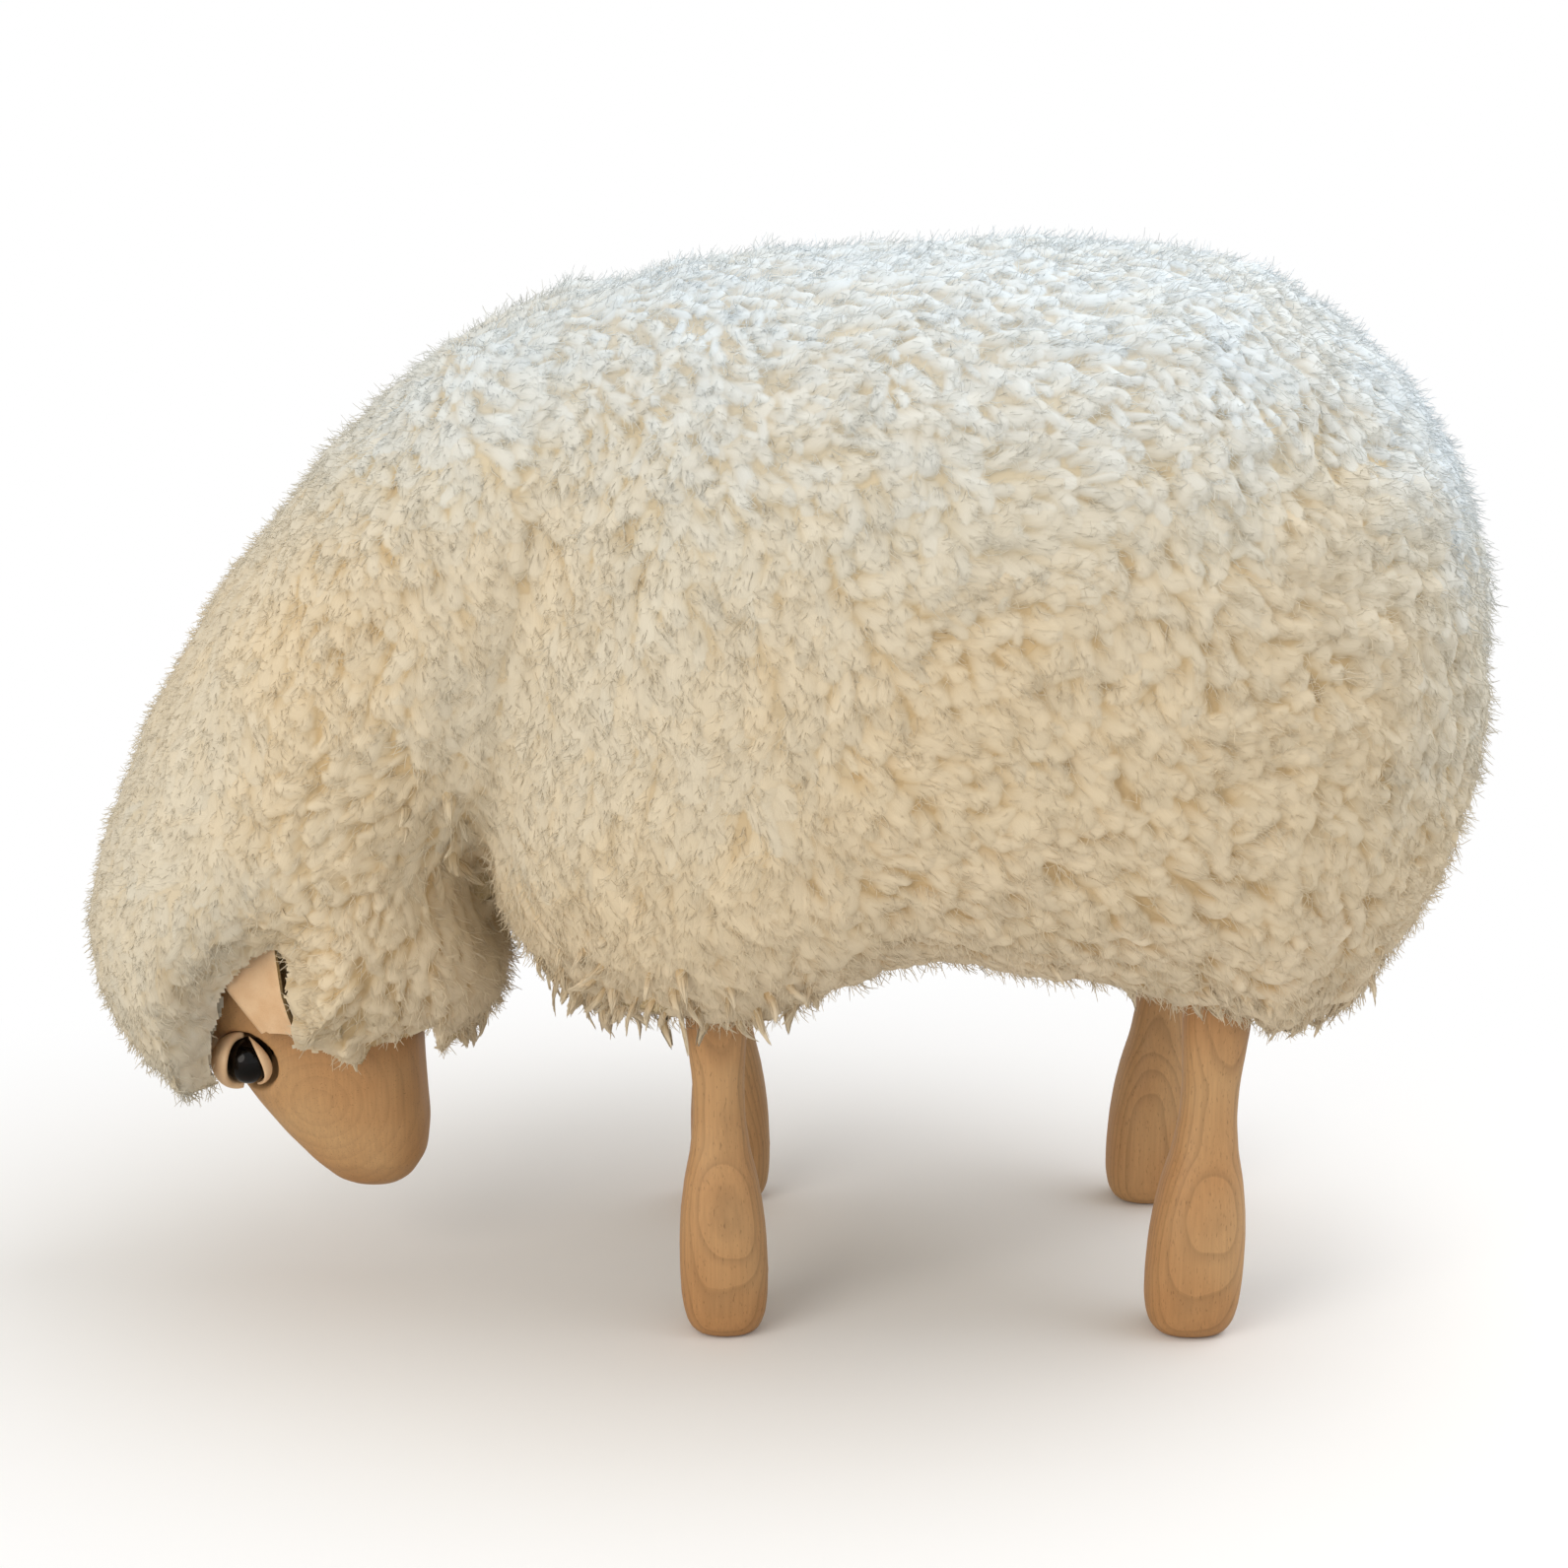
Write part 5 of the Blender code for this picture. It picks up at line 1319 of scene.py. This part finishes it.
def make_eye(side, sign, material):
    """A smooth glass ball on its stem."""
    middle, outward, forward, up = eye_frame(sign)
    rings = []
    profile = [EYE_STEM]
    start = math.pi - math.asin(STEM_SHARE)
    for angle in np.linspace(start, EYE_POLE, EYE_RINGS):
        profile.append((EYE_RADIUS * math.cos(angle), EYE_RADIUS * math.sin(angle)))
    turns = np.linspace(0, 2 * math.pi, EYE_SIDES, endpoint=False)
    for distance, radius in profile:
        circle = np.cos(turns)[:, None] * forward + np.sin(turns)[:, None] * up
        rings.append(middle + outward * distance + circle * radius)
    mesh = closed_rings("eye_ball_" + side, np.array(rings))
    piece = link_object("eye_ball_" + side, mesh, (material,))
    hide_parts("eye_" + side)


def make_lid(kind, side, sign, materials):
    """A leather lid: a crescent of rolled leather that lies on the ball, with its dark cut
    edge on the side away from the eye."""
    first, last, slant, reach, thickness, offset = LIDS[kind]
    first, last, reach, offset = (math.radians(turn) for turn in (first, last, reach, offset))
    middle, outward, forward, up = eye_frame(sign)
    mid_turn = (first + last) / 2
    angles = 2 * math.pi * np.arange(2 * LID_COLUMNS) / (2 * LID_COLUMNS)
    rings = []
    for lift in np.linspace(-reach, reach, LID_ROWS):
        share = math.cos(lift / reach * math.pi / 2) ** 0.6 if abs(lift) < reach else 0.0
        share = max(share, 0.08)
        half_turn = (last - first) / 2 * share
        half_thickness = thickness / 2 * (0.35 + 0.65 * share)
        around = lift + offset
        ring = []
        for angle in angles:
            turn = mid_turn + slant * lift - half_turn * math.cos(angle)
            height = EYE_RADIUS + LID_CLEARANCE + half_thickness
            height += math.copysign(abs(math.sin(angle)) ** 0.75, math.sin(angle)) * half_thickness
            level = outward * math.cos(turn) + forward * math.sin(turn)
            ring.append(middle + (level * math.cos(around) + up * math.sin(around)) * height)
        rings.append(ring)
    name = "lid_%s_%s" % (kind, side)
    mesh = closed_rings(name, np.array(rings))
    away = np.cos(angles + math.pi / (2 * LID_COLUMNS)) * (1 if mid_turn < 0 else -1)
    cut_edge = np.tile(away > LID_CUT_EDGE, LID_ROWS - 1)
    kinds = np.append(cut_edge, np.zeros(4 * LID_COLUMNS)).astype(np.int32)
    mesh.polygons.foreach_set("material_index", kinds)
    piece = link_object(name, mesh, materials)
    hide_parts("%s_eyelid_%s" % (kind, side))


def folded_sheet(name, rings, materials):
    """A folded sheet from an array of sections, each the inner face's points and then the outer
    face's points in reverse. The cut edges and the inside take the second material."""
    count, sides = rings.shape[:2]
    half = sides // 2
    faces = ring_faces(count, sides)
    kinds = [0 if half <= j < sides - 1 else 1 for j in range(sides)] * (count - 1)
    for first in (0, (count - 1) * sides):
        for j in range(half - 1):
            faces.append((first + j, first + j + 1, first + sides - 2 - j, first + sides - 1 - j))
            kinds.append(1)
    mesh = skin(name, rings.reshape(-1, 3).tolist(), faces)
    mesh.polygons.foreach_set("material_index", kinds)
    mesh.set_sharp_from_angle(angle=SHARP_EDGE)
    return link_object(name, mesh, materials)


def ear_line(outer, inner, radius, lift):
    """The sheet's middle line in one section, as (back, out, share of the width): in along the
    inner flap, round the fold and out along the outer flap, which bends open."""
    line = [(inner * s, 0.0006 * math.sin(3 * s), s) for s in (1.0, 0.85, 0.7, 0.55, 0.4, 0.25)]
    for i in range(9):
        angle = -math.pi / 2 - math.pi * i / 8
        line.append((radius + radius * math.cos(angle), radius + radius * math.sin(angle), 0.1))
    for s in (0.25, 0.4, 0.55, 0.7, 0.85, 1.0):
        line.append((outer * s, 2 * radius + lift * (0.35 * s + 0.65 * s ** 2.4), s))
    return np.array(line)


def make_ear(side, sign, grain_side, flesh_side):
    """The ear: one piece of leather folded lengthwise, open to the rear, hanging from the wool."""
    down, back, out = np.array(EAR_DOWN), np.array(EAR_BACK), np.array((0.0, sign, 0.0))
    base = np.array((EAR_BASE[0], sign * EAR_BASE[1], EAR_BASE[2]))
    places = EAR_SECTIONS[:, 0]
    rings, lines = [], []
    for place in np.linspace(places[0], places[-1], EAR_ROWS):
        outer, inner, slant, radius, lift = (np.interp(place, places, values)
                                             for values in EAR_SECTIONS.T[1:])
        line = ear_line(outer, inner, radius, lift)
        slope = np.gradient(line[:, :2], axis=0)
        slope /= np.linalg.norm(slope, axis=1, keepdims=True)
        offset = np.stack((slope[:, 1], -slope[:, 0]), axis=1) * EAR_THICKNESS / 2
        section = np.concatenate((line[:, :2] + offset, (line[:, :2] - offset)[::-1]))
        slide = np.concatenate((line[:, 2], line[::-1, 2])) * slant
        middle = base + down * place
        rings.append(middle + section[:, :1] * back + section[:, 1:] * out + slide[:, None] * down)
        lines.append(middle + line[:, :1] * back + line[:, 1:2] * out + line[:, 2:] * slant * down)
    piece = folded_sheet("ear_folded_" + side, np.array(rings), (grain_side, flesh_side))
    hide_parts("ear_" + side)


# Foam and dust cover

def make_foam(material):
    """The foam pads, with their edges a little rounded as those of cut foam are."""
    for node in FOAM_NODES:
        mesh = evened(node + "_cut", (node,), FOAM_VOXEL, FOAM_ROUNDS)
        piece = link_object(node + "_cut", mesh, (material,))
        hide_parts(node)


def make_dust_cover(material):
    """Calico pulled tight under the base board, sagging by less than a millimetre."""
    sheet = bmesh.new()
    sheet.from_mesh(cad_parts["dust_cover"].data)
    rest = [face for face in sheet.faces if face.normal.z < 0.9]
    bmesh.ops.delete(sheet, geom=rest, context="FACES")
    for _ in range(6):
        bmesh.ops.triangulate(sheet, faces=sheet.faces)
        long_edges = [edge for edge in sheet.edges if edge.calc_length() > CLOTH_GRID]
        bmesh.ops.subdivide_edges(sheet, edges=long_edges, cuts=1)
    bmesh.ops.triangulate(sheet, faces=sheet.faces)
    edge_points = {vert for edge in sheet.edges if edge.is_boundary for vert in edge.verts}
    for vert in sheet.verts:
        if vert not in edge_points:
            ripple = math.sin(vert.co.x * 95) * math.sin(vert.co.y * 120)
            vert.co.z -= CLOTH_SAG + CLOTH_RIPPLE * ripple
    flat_area = sum(face.calc_area() for face in sheet.faces)
    thick = {"thickness": CLOTH_THICKNESS, "offset": -1.0}
    cloth = with_modifiers("dust_cover_cloth", as_mesh("dust_cover_cloth", sheet), ("SOLIDIFY", thick))
    piece = link_object("dust_cover_cloth", cloth, (material,))
    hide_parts("dust_cover")


# Camera, light and floor

def make_camera():
    """The camera at the photograph's viewing angle."""
    camera = placed("camera", bpy.data.cameras.new("camera"))
    camera.location = CAMERA_PLACE
    camera.rotation_euler = (math.pi / 2 - CAMERA_DOWN, 0.0, 0.0)
    camera.data.lens = CAMERA_LENS
    camera.data.sensor_width = CAMERA_SENSOR
    bpy.context.scene.camera = camera


def make_lamps():
    """Three round softboxes."""
    for name, place, target, size, power, colour in LAMPS:
        data = bpy.data.lights.new(name, "AREA")
        data.shape = "DISK"
        data.size = size
        data.energy = power
        data.color = linear(colour)[:3]
        lamp = placed(name, data)
        lamp.location = place
        lamp.rotation_euler = (Vector(target) - Vector(place)).to_track_quat("-Z", "Y").to_euler()


def make_room():
    """A plain room that lights the stool softly and is white to the camera and in reflections."""
    world = bpy.data.worlds.new("plain_room")
    bpy.context.scene.world = world
    world.use_nodes = True
    tree = world.node_tree
    tree.nodes.clear()
    path = add_node(tree, "LightPath").outputs
    seen = add_node(tree, "Math", links={0: path["Is Camera Ray"], 1: path["Is Glossy Ray"]},
                    operation="MAXIMUM")
    seen = add_node(tree, "Math", links={0: seen, 1: path["Is Transmission Ray"]}, operation="MAXIMUM")
    room = add_node(tree, "Background", {0: linear("F8F5F0"), 1: 0.70})
    white = add_node(tree, "Background", {0: grey(1.0), 1: 1.0})
    mixed = add_node(tree, "MixShader", links={0: seen, 1: room, 2: white})
    add_node(tree, "OutputWorld", links={0: mixed})


def make_floor():
    """The floor paper."""
    mesh = bpy.data.meshes.new("floor")
    corners = [(x * FLOOR_HALF, y * FLOOR_HALF, 0) for x, y in ((-1, -1), (1, -1), (1, 1), (-1, 1))]
    mesh.from_pydata(corners, [], [(0, 1, 2, 3)])
    floor = placed("floor", mesh)
    mesh.materials.append(pale_floor())


# The stool

def dress_frame(board, wood, metal):
    """Materials for the frame parts and fixings, which keep their CAD form."""
    for name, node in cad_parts.items():
        if name == "dust_cover":
            continue
        if name in ("base_board", "seat_board"):
            chosen = board
        elif any(word in name for word in ("screw", "bolt", "nut", "tack")):
            chosen = metal
        else:
            chosen = wood
        for slot in node.material_slots:
            slot.material = chosen


make_camera()
make_lamps()
make_room()
make_floor()
bpy.context.scene.view_settings.view_transform = "Standard"

make_wool(curly_wool())
make_hide(woolly_hide())
make_legs_and_head()

leather = tanned_leather()
cut_leather = leather_flesh_side("leather_cut_edge", "6F4A2C", "A9814F")
# The ear's inside takes a lighter copy of the flesh side: painted light that lifts the deep shade inside
# the fold.
ear_lining_painted_light = leather_flesh_side("leather_flesh_side", "B4935E", "E2C696")
glass = black_glass()
for side_name, side_sign in SIDES:
    make_eye(side_name, side_sign, glass)
    make_lid("front", side_name, side_sign, (leather, cut_leather))
    make_lid("rear", side_name, side_sign, (leather, cut_leather))
    make_ear(side_name, side_sign, leather, ear_lining_painted_light)
make_foam(upholstery_foam())
dress_frame(birch_ply(), waxed_beech("beech_frame", *FRAME_PITH), zinc_steel())
make_dust_cover(calico_weave())
